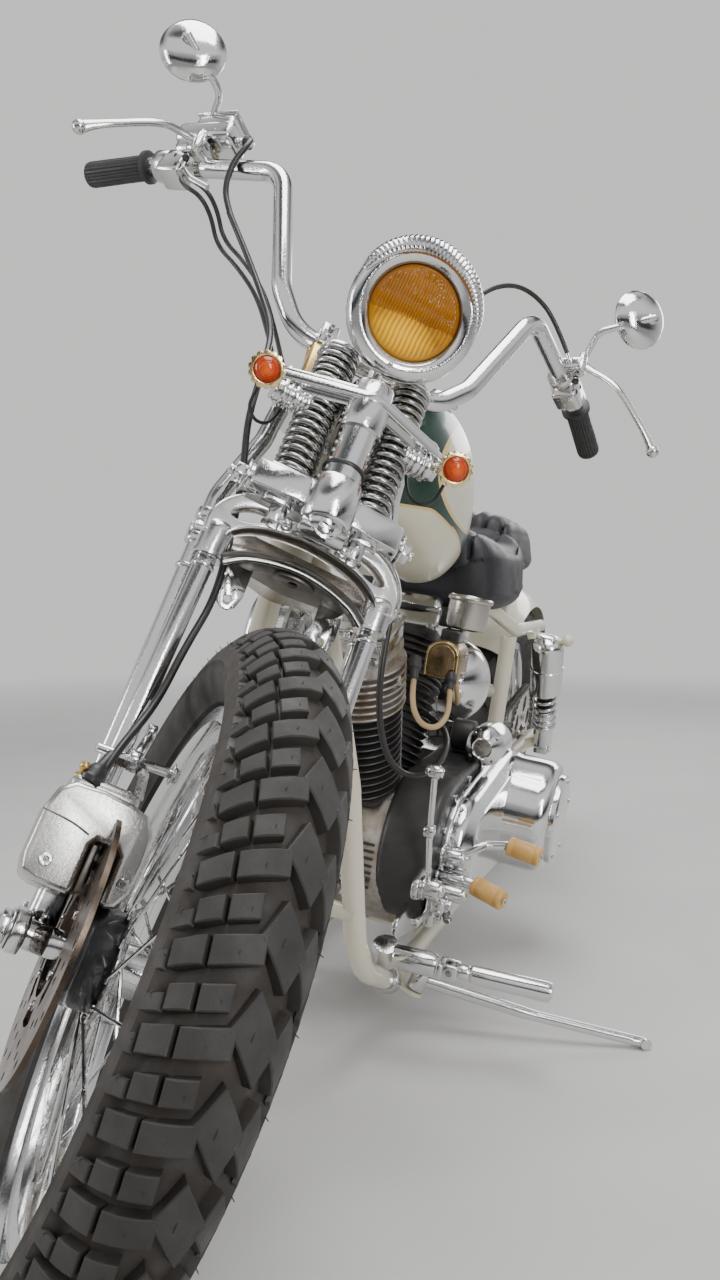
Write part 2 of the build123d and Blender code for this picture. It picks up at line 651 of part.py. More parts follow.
cylinders = Part()
heads = Part()
rocker_boxes = Part()
for side in (-1, 1):
    place = cylinder_place(side)
    cylinders += place * finned(BARREL_LOW, BARREL_HIGH, BORE_R + 6, FIN_R, 8)
    heads += place * finned(BARREL_HIGH, HEAD_HIGH, BORE_R + 12, FIN_R + 4, 5)
    rocker_boxes += place * (Pos(0, 0, (HEAD_HIGH + ROCKER_HIGH) / 2) * Box(118, 96, ROCKER_HIGH - HEAD_HIGH))
rear_barrel = cylinder_place(1) * rod((0, 0, BARREL_LOW - 1), (0, 0, HEAD_HIGH), BORE_R + 6)

crankcase = side_plate([(ENGINE_Y, CRANK_Z, 112), (ENGINE_Y + 20, 200, 60)], -80, 84)
crankcase += across(-112, -80, ENGINE_Y - 10, CRANK_Z - 10, 84)
crankcase = crankcase - cylinders - heads
gearbox = Pos(0, 230, 305) * Box(150, 140, 150)
gearbox = fillet(gearbox.edges(), 18) - across(-200, 200, SWING_Y, SWING_Z, 22)

PRIMARY_REAR_Y = 205.0
PRIMARY_REAR_Z = 300.0
primary_case = side_plate([(ENGINE_Y, CRANK_Z + 14, 118), (PRIMARY_REAR_Y, PRIMARY_REAR_Z, 112)], 98, 160) - crankcase - gearbox
primary_cover = side_plate([(ENGINE_Y, CRANK_Z + 10, 94), (PRIMARY_REAR_Y, PRIMARY_REAR_Z, 108)], 160, 205)
primary_cover = fillet(primary_cover.edges().filter_by(Plane.YZ.offset(0)).sort_by(Axis.X)[-4:], 14)
primary_cover += across(204, 226, PRIMARY_REAR_Y, PRIMARY_REAR_Z, 88)
starter = across(100, 172, 55, 452, 30)
starter_cap = starter - primary_case - crankcase - gearbox

oil_tank = across(-70, 122, 220, 522, 58)
oil_tank = fillet(oil_tank.edges(), 22)
canister = rod((116, -18, 625), (118, -16, 688), 30) + rod((118, -16, 682), (118.2, -15.8, 692), 33)
coil_box = Pos(118, -70, 586) * Box(34, 66, 62)
coil_box = fillet(coil_box.edges(), 8)

# Tank, seat and rear mudguard


def tank_section(y, half_width, low, high):
    middle = (low + high) / 2
    return Plane(origin=(0, y, middle), z_dir=(0, -1, 0)) * Ellipse(half_width, (high - low) / 2)


fuel_tank = loft(
    [
        tank_section(-305, 44, 770, 900),
        tank_section(-240, 108, 712, 950),
        tank_section(-100, 138, 690, 968),
        tank_section(40, 120, 690, 930),
        tank_section(110, 50, 712, 860),
    ]
)
fuel_tank -= backbone


def cushion(low_y, high_y, low_z, high_z, width):
    pad = Box(width, high_y - low_y, high_z - low_z)
    return Pos(0, (low_y + high_y) / 2, (low_z + high_z) / 2) * fillet(pad.edges(), 24)


seat = cushion(80, 370, 668, 764, 250) + cushion(335, 600, 700, 800, 200)
seat = seat - frame - fuel_tank

GUARD_R = REAR_TYRE_R + 28
GUARD_HALF = 78.0
GUARD_T = 3.0
guard_arc = ThreePointArc((-GUARD_HALF, GUARD_R - 40), (0, GUARD_R), (GUARD_HALF, GUARD_R - 40))
guard_in = ThreePointArc(
    (-GUARD_HALF + GUARD_T, GUARD_R - 40), (0, GUARD_R - GUARD_T), (GUARD_HALF - GUARD_T, GUARD_R - 40)
)
guard_face = make_face(
    [
        guard_arc.edge(),
        guard_in.edge(),
        Line((-GUARD_HALF, GUARD_R - 40), (-GUARD_HALF + GUARD_T, GUARD_R - 40)).edge(),
        Line((GUARD_HALF, GUARD_R - 40), (GUARD_HALF - GUARD_T, GUARD_R - 40)).edge(),
    ]
)
rear_guard = Location(REAR_AXLE) * Rot(-10, 0, 0) * revolve(guard_face, Axis.X, 150)
rear_guard = rear_guard - frame - seat

# Exhaust, air cleaner, feet


def port(side, distance, out):
    """A point beside a cylinder: along it, then out to the right."""
    return (cylinder_place(side) * Pos(-out, side * 30, distance)).position


PIPE_R = 22.0
front_pipe = pipe(
    [(-60, -225, 560), (-120, -268, 520), (-150, -240, 300), (-165, -60, 205), (-170, 850, 215)], [40, 70, 90], PIPE_R
)
rear_pipe = pipe([(-60, 140, 560), (-130, 190, 500), (-170, 170, 330), (-172, 300, 268), (-175, 850, 268)], [40, 60, 60], PIPE_R)
exhaust_pipes = (front_pipe + rear_pipe) - heads - frame
carburettor = across(-140, -60, ENGINE_Y, 545, 26)
air_cleaner = across(-212, -140, ENGINE_Y, 560, 88)
air_cleaner = fillet(air_cleaner.edges(), 14)
carburettor = carburettor - cylinders - heads - rocker_boxes - air_cleaner

highway_peg = across(RAIL_X - 20, 205, -258, 180, 17) + across(205, 365, -240, 184, 13)
foot_controls = across(150, 205, -112, 262, 10) + Pos(150, -80, 262) * Box(20, 90, 30)
foot_controls += rod((152, -150, 300), (152, -222, 440), 5)
foot_controls = foot_controls - primary_case - primary_cover - crankcase
peg_rubbers = rod((222, -118, 258), (268, -140, 248), 15)



def chain_loop(grow, low_x, high_x):
    """The hull round both sprockets, grown by a distance."""
    _, axle_y, axle_z = REAR_AXLE
    return side_plate([(230, SWING_Z, DRIVE_SPROCKET_R + grow), (axle_y, axle_z, SPROCKET_R + grow)], low_x, high_x)


drive_chain = Part()
for low_x in (SPROCKET_X - 7, SPROCKET_X + 4):
    drive_chain += chain_loop(3, low_x, low_x + 3) - chain_loop(-8, low_x, low_x + 3)
drive_chain += across(76, 92, 230, SWING_Z, DRIVE_SPROCKET_R - 2)

# Finished stance


def tyre_low(axle, radius, tread_half, drop):
    """The lowest point of a tyre's crown, from where its axle lies."""
    crown_r = (tread_half**2 + drop**2) / (2 * drop)
    tilt = (axle * Pos(1, 0, 0)).position.Z - axle.position.Z
    return axle.position.Z - crown_r - (radius - crown_r) * sqrt(1 - tilt**2)


def stance(nose, lift):
    return Pos(0, 0, lift) * Rot(0, LEAN, 0) * Rot(nose, 0, 0)


STEERED = FORK * Rot(0, 0, STEER_STOP)
front_axle_at = STEERED * Pos(0, -AXLE_LEAD, 0)
nose, lift = 0.0, 0.0
for _ in range(8):
    trial = stance(nose, 0)
    front_low = tyre_low(trial * front_axle_at, FRONT_TYRE_R, FRONT_TREAD_HALF, FRONT_TREAD_DROP)
    rear_low = tyre_low(trial * Location(REAR_AXLE), REAR_TYRE_R, REAR_TREAD_HALF, REAR_TREAD_DROP)
    nose += degrees(atan((front_low - rear_low) / WHEELBASE))
    lift = -rear_low
STANCE = stance(nose, lift)
print("nose", nose, "lift", lift)

foot_at = (STANCE.inverse() * Pos(STAND_REACH[0], STAND_REACH[1], STAND_LEG_R)).position
stand_pivot = Vector(*STAND_PIVOT)
stand_way = Vector(*STAND_AXIS).normalized()
stand_run = foot_at - stand_pivot
stand_middle = stand_pivot + stand_run * 0.5 + Vector(0, 0, -8)
stand_in = rod(stand_pivot - stand_way * 40, stand_pivot + stand_way * 40, STAND_PIN_R + RUNNING_GAP)
side_stand = pipe([stand_pivot, stand_middle, foot_at], [300], STAND_LEG_R)
side_stand += rod(stand_pivot - stand_way * 15, stand_pivot + stand_way * 15, STAND_HUB_R)
side_stand += Location(foot_at) * Sphere(STAND_LEG_R)
side_stand -= stand_in
stand_lug = rod(stand_pivot - stand_way * 24, stand_pivot + stand_way * 24, STAND_PIN_R)
stand_place = Plane(origin=stand_pivot, x_dir=(STAND_AXIS[2], 0, -STAND_AXIS[0]), z_dir=stand_way).location
for low in (-23, 17):
    stand_lug += stand_place * plate([(0, 0, STAND_HUB_R), (-34, 0, 12)], low, low + 6)
stand_lug += stand_place * Pos(-32, 0, 0) * Box(24, 24, 46)
frame += stand_lug

FRONT_WHEEL = STEERED * Pos(0, -AXLE_LEAD, 0)
REAR_WHEEL = Location(REAR_AXLE)
nodes = {}
for place, pieces in (
    (STEERED, dict(
        rigid_fork=rigid_fork, spring_fork=spring_fork, top_bracket=top_bracket, fork_springs=fork_springs,
        fork_damper=damper, rockers=rockers, front_axle=front_axle, fender_bracket=fender_bracket,
        handlebar=handlebar, risers=risers, grips=grips, hand_controls=hand_controls, hand_levers=levers,
        mirrors=mirrors, headlight_shell=headlight_shell, headlight_lens=headlight_lens,
        turn_signals=turn_signals, signal_lenses=signal_lenses, brake_caliper=brake_caliper, brake_hose=brake_hose,
    )),
    (FRONT_WHEEL, dict(front_tyre=front_tyre, front_wheel=front_wheel, front_disc=front_disc, front_carrier=front_carrier)),
    (REAR_WHEEL, dict(rear_tyre=rear_tyre, rear_wheel=rear_wheel, rear_disc=rear_disc, rear_sprocket=sprocket)),
    (Pos(0, 0, 0), dict(
        frame=frame, swingarm=swingarm, rear_axle=rear_axle, rear_shocks=rear_shocks, cylinders=cylinders,
        cylinder_heads=heads, rocker_boxes=rocker_boxes, crankcase=crankcase, gearbox=gearbox,
        primary_case=primary_case, primary_cover=primary_cover, starter_cap=starter_cap, oil_tank=oil_tank,
        canister=canister, coil_box=coil_box, fuel_tank=fuel_tank, seat=seat, rear_guard=rear_guard,
        exhaust_pipes=exhaust_pipes, carburettor=carburettor, air_cleaner=air_cleaner, highway_peg=highway_peg,
        foot_controls=foot_controls, peg_rubbers=peg_rubbers, drive_chain=drive_chain, side_stand=side_stand,
    )),
):
    for name, piece in pieces.items():
        nodes[name] = STANCE * place * piece

box = Compound(list(nodes.values())).bounding_box()
CENTRE = Pos(-(box.min.X + box.max.X) / 2, -(box.min.Y + box.max.Y) / 2, -box.min.Z)
for name, piece in nodes.items():
    export_step(CENTRE * piece, f"parts/{name}.step")
    if len(piece.solids()) > 1:
        print(name, "solids", len(piece.solids()))
print("box", box.size)
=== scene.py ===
"""Looks for the leaning custom motorcycle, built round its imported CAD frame.

Positions are written in millimetres in the frames that the part's source uses: the chassis frame
stands upright with the ground at Z = 0 and the front towards -Y, and the fork frame runs up the
steering axis from the height of the axle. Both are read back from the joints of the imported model.
"""

import json
import random
from math import cos, pi, radians, sin, sqrt, tan

import bmesh
import bpy
from mathutils import Matrix, Vector


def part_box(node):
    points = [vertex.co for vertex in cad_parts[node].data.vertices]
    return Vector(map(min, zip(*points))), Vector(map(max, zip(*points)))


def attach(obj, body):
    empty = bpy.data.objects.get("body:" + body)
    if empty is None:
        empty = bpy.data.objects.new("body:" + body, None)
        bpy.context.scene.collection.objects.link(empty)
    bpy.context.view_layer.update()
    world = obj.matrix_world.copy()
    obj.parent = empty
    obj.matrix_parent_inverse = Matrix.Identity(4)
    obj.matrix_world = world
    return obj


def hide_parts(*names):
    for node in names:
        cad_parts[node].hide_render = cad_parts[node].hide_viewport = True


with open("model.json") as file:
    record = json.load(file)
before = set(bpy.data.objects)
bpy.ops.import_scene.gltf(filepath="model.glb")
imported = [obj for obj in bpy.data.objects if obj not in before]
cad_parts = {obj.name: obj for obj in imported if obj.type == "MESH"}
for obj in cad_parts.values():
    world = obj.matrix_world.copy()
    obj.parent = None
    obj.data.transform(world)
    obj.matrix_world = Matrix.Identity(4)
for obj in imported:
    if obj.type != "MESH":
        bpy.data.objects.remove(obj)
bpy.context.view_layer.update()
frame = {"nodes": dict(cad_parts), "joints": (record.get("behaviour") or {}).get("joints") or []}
joints = {joint["name"]: joint for joint in frame["joints"]}

# Frames, from the joints' axes
RAKE = radians(31.5)
AXLE_LEAD = 85.0
MM = Matrix.Scale(0.001, 4)  # millimetres to metres


def axes_matrix(x, y, z, origin):
    turn = Matrix((x, y, z)).transposed().to_4x4()
    return Matrix.Translation(origin) @ turn @ MM


steer_axis = Vector(joints["steering"]["axis"]).normalized()
front_x = Vector(joints["front_wheel_spin"]["axis"]).normalized()
rear_x = Vector(joints["rear_wheel_spin"]["axis"]).normalized()
steer_side = rear_x.cross(steer_axis)
CHASSIS_Z = steer_axis * cos(RAKE) + steer_side * sin(RAKE)
CHASSIS_Y = steer_axis * sin(RAKE) - steer_side * cos(RAKE)
rear_hub = Vector(joints["rear_wheel_spin"]["pos_m"])
REAR_AXLE = Vector((0.0, 810.0, 318.0))
CHASSIS = axes_matrix(rear_x, CHASSIS_Y, CHASSIS_Z, rear_hub)
CHASSIS = CHASSIS @ Matrix.Translation(-REAR_AXLE)
FORK = axes_matrix(front_x, steer_axis.cross(front_x), steer_axis, joints["steering"]["pos_m"])
FRONT_WHEEL = FORK @ Matrix.Translation((0, -AXLE_LEAD, 0))
REAR_WHEEL = CHASSIS @ Matrix.Translation(REAR_AXLE)
ON_FORK, ON_CHASSIS = (FORK, "front_end"), (CHASSIS, "chassis")
ON_FRONT, ON_REAR = (FRONT_WHEEL, "front_rolling"), (REAR_WHEEL, "rear_rolling")

# Mesh parts: each is a list of points in millimetres and a list of faces


def from_bmesh(mesh):
    bmesh.ops.recalc_face_normals(mesh, faces=mesh.faces)
    mesh.verts.index_update()
    points = [vert.co.copy() for vert in mesh.verts]
    faces = [[vert.index for vert in face.verts] for face in mesh.faces]
    mesh.free()
    return points, faces


def moved(part, matrix):
    points, faces = part
    if matrix.determinant() < 0:
        faces = [face[::-1] for face in faces]
    return [matrix @ point for point in points], faces


def joined(*parts):
    points, faces = [], []
    for more, loops in parts:
        start = len(points)
        points.extend(more)
        faces.extend([[index + start for index in loop] for loop in loops])
    return points, faces


def shift(x=0.0, y=0.0, z=0.0):
    return Matrix.Translation((x, y, z))


def turn(degrees_round, axis):
    return Matrix.Rotation(radians(degrees_round), 4, axis)


def aim(origin, direction, up=(0, 0, 1)):
    """A frame at origin whose Z points along direction, with its X as near to up as it can be."""
    z = Vector(direction).normalized()
    guide = Vector(up)
    if abs(z.dot(guide.normalized())) > 0.98:
        guide = Vector((1, 0, 0))
    y = z.cross(guide).normalized()
    x = y.cross(z)
    return Matrix.Translation(origin) @ Matrix((x, y, z)).transposed().to_4x4()


def put(part, x, y, z):
    return moved(part, shift(x, y, z))


def across(part, x, y, z):
    """The part laid along X."""
    return moved(part, shift(x, y, z) @ TO_X)


def aimed(part, origin, direction):
    return moved(part, aim(origin, direction))


def mirrored(part):
    return moved(part, Matrix.Scale(-1, 4, (1, 0, 0)))


def both(part):
    return joined(part, mirrored(part))


def ellipse(wide, tall, sides):
    return [(wide * cos(2 * pi * i / sides), tall * sin(2 * pi * i / sides)) for i in range(sides)]


def circle(x, y, radius, sides=16):
    return [(x + u, y + v) for u, v in ellipse(radius, radius, sides)]


def ring_outline(radius, sides):
    return ellipse(radius, radius, sides)


def hexagon(radius):
    return ellipse(radius, radius, 6)


def arc(wide, tall, height, stops):
    """(radius, height) pairs along an ellipse, at the stops in degrees."""
    return [(wide * cos(radians(a)), height + tall * sin(radians(a))) for a in stops]


def unit(value):
    """The value, held between 0 and 1."""
    return max(0.0, min(1.0, value))


def skin(rings, closed=False):
    """Faces from ring to ring of points; a ring of one point is a pole, and open ends are capped."""
    mesh = bmesh.new()
    rings = [[mesh.verts.new(point) for point in ring] for ring in rings]
    for low, high in zip(rings, rings[1:] + rings[:1] if closed else rings[1:]):
        size = max(len(low), len(high))
        for index in range(size):
            spots = [(low, index), (low, index + 1), (high, index + 1), (high, index)]
            loop = list(dict.fromkeys(ring[spot % size % len(ring)] for ring, spot in spots))
            if len(loop) > 2:
                mesh.faces.new(loop)
    for ring in () if closed else (rings[0], rings[-1]):
        if len(ring) > 1:
            mesh.faces.new(ring)
    return from_bmesh(mesh)


def lathe(profile, steps=48, closed=False):
    """A surface turned round Z from (radius, height) pairs, poles closed."""
    rings = []
    for radius, height in profile:
        outline = [(0, 0)] if radius < 0.001 else ellipse(radius, radius, steps)
        rings.append([(x, y, height) for x, y in outline])
    return skin(rings, closed)


def barrel(radius, low, high, edge=1.0, steps=32):
    """A solid cylinder along Z with softened rims."""
    soft = [
        (radius - edge, low), (radius - edge * 0.3, low + edge * 0.3), (radius, low + edge),
        (radius, high - edge), (radius - edge * 0.3, high - edge * 0.3), (radius - edge, high)
    ]
    return lathe([(0, low)] + soft + [(0, high)], steps)


def between(start, end, radius, edge=1.0, steps=24):
    """A cylinder from one point to another."""
    run = Vector(end) - Vector(start)
    return aimed(barrel(radius, 0, run.length, edge, steps), start, run)


def rounded(points, radii, steps=8):
    """A path along straight runs with an arc at each corner."""
    spots = [Vector(point) for point in points]
    if not isinstance(radii, (list, tuple)):
        radii = [radii] * (len(spots) - 2)
    path = [spots[0]]
    for before, corner, after, radius in zip(spots, spots[1:], spots[2:], radii):
        back = (before - corner).normalized()
        on = (after - corner).normalized()
        half = back.angle(on) / 2
        reach = min(radius / tan(half), 0.49 * (before - corner).length, 0.49 * (after - corner).length)
        size = reach * tan(half)
        centre = corner + (back + on).normalized() * (size / sin(half))
        start, end = corner + back * reach - centre, corner + on * reach - centre
        sweep_angle = start.angle(end)
        for index in range(steps + 1):
            share = index / steps
            if sweep_angle < 0.001:
                arm = start.lerp(end, share)
            else:
                arm = start * sin((1 - share) * sweep_angle) + end * sin(share * sweep_angle)
                arm = arm / sin(sweep_angle)
            path.append(centre + arm)
    path.append(spots[-1])
    return path


def between_four(a, b, c, d, t):
    """A Catmull-Rom value between b and c, of numbers or vectors."""
    return 0.5 * (
        (2 * b) + (c - a) * t + (2 * a - 5 * b + 4 * c - d) * t**2 + (3 * b - a - 3 * c + d) * t**3
    )


def smooth_path(points, steps=8):
    """A smooth curve through points, by Catmull-Rom spans."""
    spots = [Vector(point) for point in points]
    spots = [spots[0] * 2 - spots[1]] + spots + [spots[-1] * 2 - spots[-2]]
    path = []
    for a, b, c, d in zip(spots, spots[1:], spots[2:], spots[3:]):
        for index in range(steps):
            path.append(between_four(a, b, c, d, index / steps))
    path.append(spots[-2])
    return path


def sweep(path, section, scales=None, up=(0, 0, 1)):
    """A section, a radius or an outline, drawn along a path without twist."""
    path = [Vector(point) for point in path]
    outline = ring_outline(section, 20) if isinstance(section, (int, float)) else section
    count = len(path)
    ways = []
    for index in range(count):
        way = path[min(index + 1, count - 1)] - path[max(index - 1, 0)]
        ways.append(way.normalized())
    side = ways[0].cross(Vector(up))
    if side.length < 0.05:
        side = ways[0].cross(Vector((1, 0, 0)))
    side.normalize()
    rings = []
    for index in range(count):
        side = (side - ways[index] * side.dot(ways[index])).normalized()
        other = side.cross(ways[index])
        scale = scales[index] if scales else 1.0
        rings.append([path[index] + (side * u + other * v) * scale for u, v in outline])
    return skin(rings)


def tube(points, radii, radius, steps=8, sides=20):
    """A round bar along straight runs joined by arcs."""
    return sweep(rounded(points, radii, steps), ring_outline(radius, sides))


def soften(mesh, edge, segments, angle=50.0):
    """Rounds the edges of a closed mesh that are sharper than an angle."""
    sharp = [e for e in mesh.edges if len(e.link_faces) == 2 and e.calc_face_angle() > radians(angle)]
    if edge > 0:
        bmesh.ops.bevel(
            mesh, geom=sharp, offset=edge, offset_type="OFFSET", segments=segments, profile=0.5,
            affect="EDGES", clamp_overlap=True,
        )
    return mesh


def soft_box(size, edge=2.0, segments=3, taper=None):
    """A box with rounded edges; taper narrows its top in X and Y."""
    mesh = bmesh.new()
    bmesh.ops.create_cube(mesh, size=1.0)
    for vert in mesh.verts:
        vert.co = Vector((vert.co.x * size[0], vert.co.y * size[1], vert.co.z * size[2]))
        if taper and vert.co.z > 0:
            vert.co.x *= taper[0]
            vert.co.y *= taper[1]
    return from_bmesh(soften(mesh, edge, segments))


def hull_outline(circles, steps=20):
    """The outline round circles (x, y, radius)."""
    spots = set()
    for x, y, r in circles:
        for index in range(steps):
            angle = 2 * pi * index / steps
            spots.add((round(x + r * cos(angle), 4), round(y + r * sin(angle), 4)))
    spots = sorted(spots)

    def half(points):
        line = []
        for point in points:
            while len(line) > 1:
                (ax, ay), (bx, by) = line[-2], line[-1]
                if (bx - ax) * (point[1] - ay) - (by - ay) * (point[0] - ax) > 0:
                    break
                line.pop()
            line.append(point)
        return line[:-1]

    return half(spots) + half(spots[::-1])


def slab(outline, low, high, edge=1.0, holes=(), segments=2):
    """A flat plate between two heights, with holes and softened rims."""
    mesh = bmesh.new()
    edges = []
    for loop in [outline, *holes]:
        verts = [mesh.verts.new((x, y, low)) for x, y in loop]
        edges += [mesh.edges.new((a, b)) for a, b in zip(verts, verts[1:] + verts[:1])]
    bmesh.ops.triangle_fill(mesh, use_beauty=True, use_dissolve=True, edges=edges)
    grown = bmesh.ops.extrude_face_region(mesh, geom=mesh.faces[:])
    raised = [item for item in grown["geom"] if isinstance(item, bmesh.types.BMVert)]
    bmesh.ops.translate(mesh, verts=raised, vec=(0, 0, high - low))
    bmesh.ops.recalc_face_normals(mesh, faces=mesh.faces)
    return from_bmesh(soften(mesh, edge, segments))


def bolt_head(width=6.5, height=5.0, washer=9.0):
    """A hexagon head on its washer, along Z."""
    head = slab(hexagon(width), 1.2, height, 0.7)
    return joined(barrel(washer, 0, 1.4, 0.3, 20), head)


def cap_screw(radius=5.0, height=5.0):
    """A socket head screw along Z."""
    rim = [
        (radius, 0), (radius, height - 0.8), (radius - 0.8, height), (radius * 0.5, height),
        (radius * 0.5, height - 3), (0, height - 3)
    ]
    return lathe(rim, 16)


def dome_nut(radius=7.0, height=9.0):
    cap = arc(radius * 0.8, height * 0.55, height * 0.45, range(0, 91, 15))
    return joined(slab(hexagon(radius), 0, height * 0.55, 0.6), lathe([(radius * 0.8, 1)] + cap, 16))


def ball(radius, step, sides):
    turns = [radians(a) for a in range(0, 181, step)]
    return lathe([(radius * sin(a), -radius * cos(a)) for a in turns], sides)


def square_plate(x, y, radius, steps, low, high, edge):
    """A plate round four circles that stand in a rectangle."""
    corners = [(x, y, radius), (-x, y, radius), (x, -y, radius), (-x, -y, radius)]
    return slab(hull_outline(corners, steps), low, high, edge)


def coil(start, end, radius, wire, turns, steps=20, sides=10):
    """A helical spring between two points, its ends closed up."""
    run = Vector(end) - Vector(start)
    length = run.length
    count = int(turns * steps)
    path = []
    for index in range(count + 1):
        share = index / count
        lead = 0.75 / turns
        if share < lead:
            rise = wire + wire * share / lead
        elif share > 1 - lead:
            rise = length - wire - wire * (1 - share) / lead
        else:
            rise = 2 * wire + (length - 4 * wire) * (share - lead) / (1 - 2 * lead)
        angle = 2 * pi * turns * share
        path.append(Vector(((radius - wire) * cos(angle), (radius - wire) * sin(angle), rise)))
    return aimed(sweep(path, ring_outline(wire, sides)), start, run)


# Geometry Nodes for what repeats


def tree_input(tree, name, kind):
    return tree.interface.new_socket(name=name, in_out="INPUT", socket_type=kind)


def copies_tree(name, ring):
    """Copies of an object, turned round X in a ring or set along Z in a row."""
    tree = bpy.data.node_groups.new(name, "GeometryNodeTree")
    tree.interface.new_socket(name="Geometry", in_out="OUTPUT", socket_type="NodeSocketGeometry")
    tree_input(tree, "Source", "NodeSocketObject")
    tree_input(tree, "Count", "NodeSocketInt")
    tree_input(tree, "Step", "NodeSocketFloat")
    nodes, links = tree.nodes, tree.links
    given = nodes.new("NodeGroupInput")
    source = nodes.new("GeometryNodeObjectInfo")
    line = nodes.new("GeometryNodeMeshLine")
    line.mode = "OFFSET"
    index = nodes.new("GeometryNodeInputIndex")
    product = nodes.new("ShaderNodeMath")
    product.operation = "MULTIPLY"
    vector = nodes.new("ShaderNodeCombineXYZ")
    place = nodes.new("GeometryNodeInstanceOnPoints")
    real = nodes.new("GeometryNodeRealizeInstances")
    out = nodes.new("NodeGroupOutput")
    links.new(given.outputs["Source"], source.inputs["Object"])
    links.new(given.outputs["Count"], line.inputs["Count"])
    links.new(index.outputs[0], product.inputs[0])
    links.new(given.outputs["Step"], product.inputs[1])
    line.inputs["Offset"].default_value = (0, 0, 0)
    if ring:
        links.new(product.outputs[0], vector.inputs["X"])
        links.new(vector.outputs[0], place.inputs["Rotation"])
    else:
        links.new(given.outputs["Step"], vector.inputs["Z"])
        links.new(vector.outputs[0], line.inputs["Offset"])
    links.new(line.outputs[0], place.inputs["Points"])
    links.new(source.outputs["Geometry"], place.inputs["Instance"])
    links.new(place.outputs[0], real.inputs[0])
    links.new(real.outputs[0], out.inputs[0])
    return tree


RING_TREE = copies_tree("Ring of copies", True)
ROW_TREE = copies_tree("Row of copies", False)


def mesh_object(name, part):
    mesh = bpy.data.meshes.new(name)
    mesh.from_pydata([tuple(point) for point in part[0]], [], part[1])
    item = bpy.data.objects.new(name, mesh)
    bpy.context.scene.collection.objects.link(item)
    return item


def copies(part, tree, count, step):
    """The part repeated by a Geometry Nodes tree, as a part again."""
    source = mesh_object("source", part)
    host = mesh_object("host", ([], []))
    modifier = host.modifiers.new("copies", "NODES")
    modifier.node_group = tree
    given = {"Source": source, "Count": count, "Step": step}
    for socket in tree.interface.items_tree:
        if socket.in_out == "INPUT":
            modifier[socket.identifier] = given[socket.name]
    bpy.context.view_layer.update()
    graph = bpy.context.evaluated_depsgraph_get()
    mesh = bpy.data.meshes.new_from_object(host.evaluated_get(graph))
    points = [vert.co.copy() for vert in mesh.vertices]
    faces = [list(face.vertices) for face in mesh.polygons]
    for item in (source, host):
        data = item.data
        bpy.data.objects.remove(item)
        bpy.data.meshes.remove(data)
    bpy.data.meshes.remove(mesh)
    return points, faces


def ring_of(part, count, sweep_degrees=360.0):
    """Copies of a part turned evenly round X."""
    return copies(part, RING_TREE, count, radians(sweep_degrees) / count)


def row_of(part, count, step):
    """Copies of a part set evenly along Z."""
    return copies(part, ROW_TREE, count, step)


class Piece:
    """A visible piece, put together from parts in one frame and one or more materials."""

    def __init__(self, name, place, body, slot, *nodes):
        self.name, self.place, self.body, self.slot, self.nodes = name, place, body, slot, nodes
        self.points, self.faces, self.paints, self.shades, self.materials = [], [], [], [], []

    def add(self, material, *parts, at=None, shade=0.0):
        part = parts[0] if len(parts) == 1 else joined(*parts)
        if at is not None:
            part = moved(part, at)
        start = len(self.points)
        self.points.extend(part[0])
        self.faces.extend([[index + start for index in loop] for loop in part[1]])
        if material not in self.materials:
            self.materials.append(material)
        self.paints.extend([self.materials.index(material)] * len(part[1]))
        values = shade if isinstance(shade, list) else [shade] * len(part[0])
        self.shades.extend(values)

    def pair(self, material, *parts):
        """The parts and their mirror images."""
        self.add(material, both(joined(*parts)))

    def done(self, sharp=38.0):
        mesh = bpy.data.meshes.new(self.name)
        mesh.from_pydata([tuple(self.place @ point) for point in self.points], [], self.faces)
        for material in self.materials:
            mesh.materials.append(material)
        mesh.polygons.foreach_set("material_index", self.paints)
        mesh.polygons.foreach_set("use_smooth", [True] * len(mesh.polygons))
        shade = mesh.attributes.new("shade", "FLOAT", "POINT")
        shade.data.foreach_set("value", self.shades)
        mesh.set_sharp_from_angle(angle=radians(sharp))
        item = bpy.data.objects.new(self.name, mesh)
        bpy.context.scene.collection.objects.link(item)
        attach(item, self.body)
        if self.nodes:
            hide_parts(*self.nodes)
        return item


def made(name, place, body, slot, *nodes, sharp=38.0):
    """Makes a piece, and has the function under this heading fill it."""
    def fill(function):
        piece = Piece(name, place, body, slot, *nodes)
        function(piece)
        return piece.done(sharp)

    return fill


# Finishes: effects that several materials share are node groups


def socket_group(name, inputs, outputs):
    group = bpy.data.node_groups.new(name, "ShaderNodeTree")
    for title, kind, value in inputs:
        group.interface.new_socket(name=title, in_out="INPUT", socket_type=kind).default_value = value
    for title, kind in outputs:
        group.interface.new_socket(name=title, in_out="OUTPUT", socket_type=kind)
    return group, group.nodes.new("NodeGroupInput"), group.nodes.new("NodeGroupOutput")


def node(tree, kind, settings=(), **values):
    item = tree.nodes.new(kind)
    for key, value in settings:
        setattr(item, key, value)
    for key, value in values.items():
        item.inputs[key.replace("_", " ")].default_value = value
    return item


def math(tree, operation, first, second, clamp=False):
    item = tree.nodes.new("ShaderNodeMath")
    item.operation, item.use_clamp = operation, clamp
    for socket, value in zip(item.inputs, (first, second)):
        if isinstance(value, (int, float)):
            socket.default_value = value
        else:
            tree.links.new(value, socket)
    return item.outputs[0]


def remap(tree, value, low, high, to_low=0.0, to_high=1.0):
    item = tree.nodes.new("ShaderNodeMapRange")
    tree.links.new(value, item.inputs["Value"])
    for key, number in (("From Min", low), ("From Max", high), ("To Min", to_low), ("To Max", to_high)):
        item.inputs[key].default_value = number
    return item.outputs["Result"]


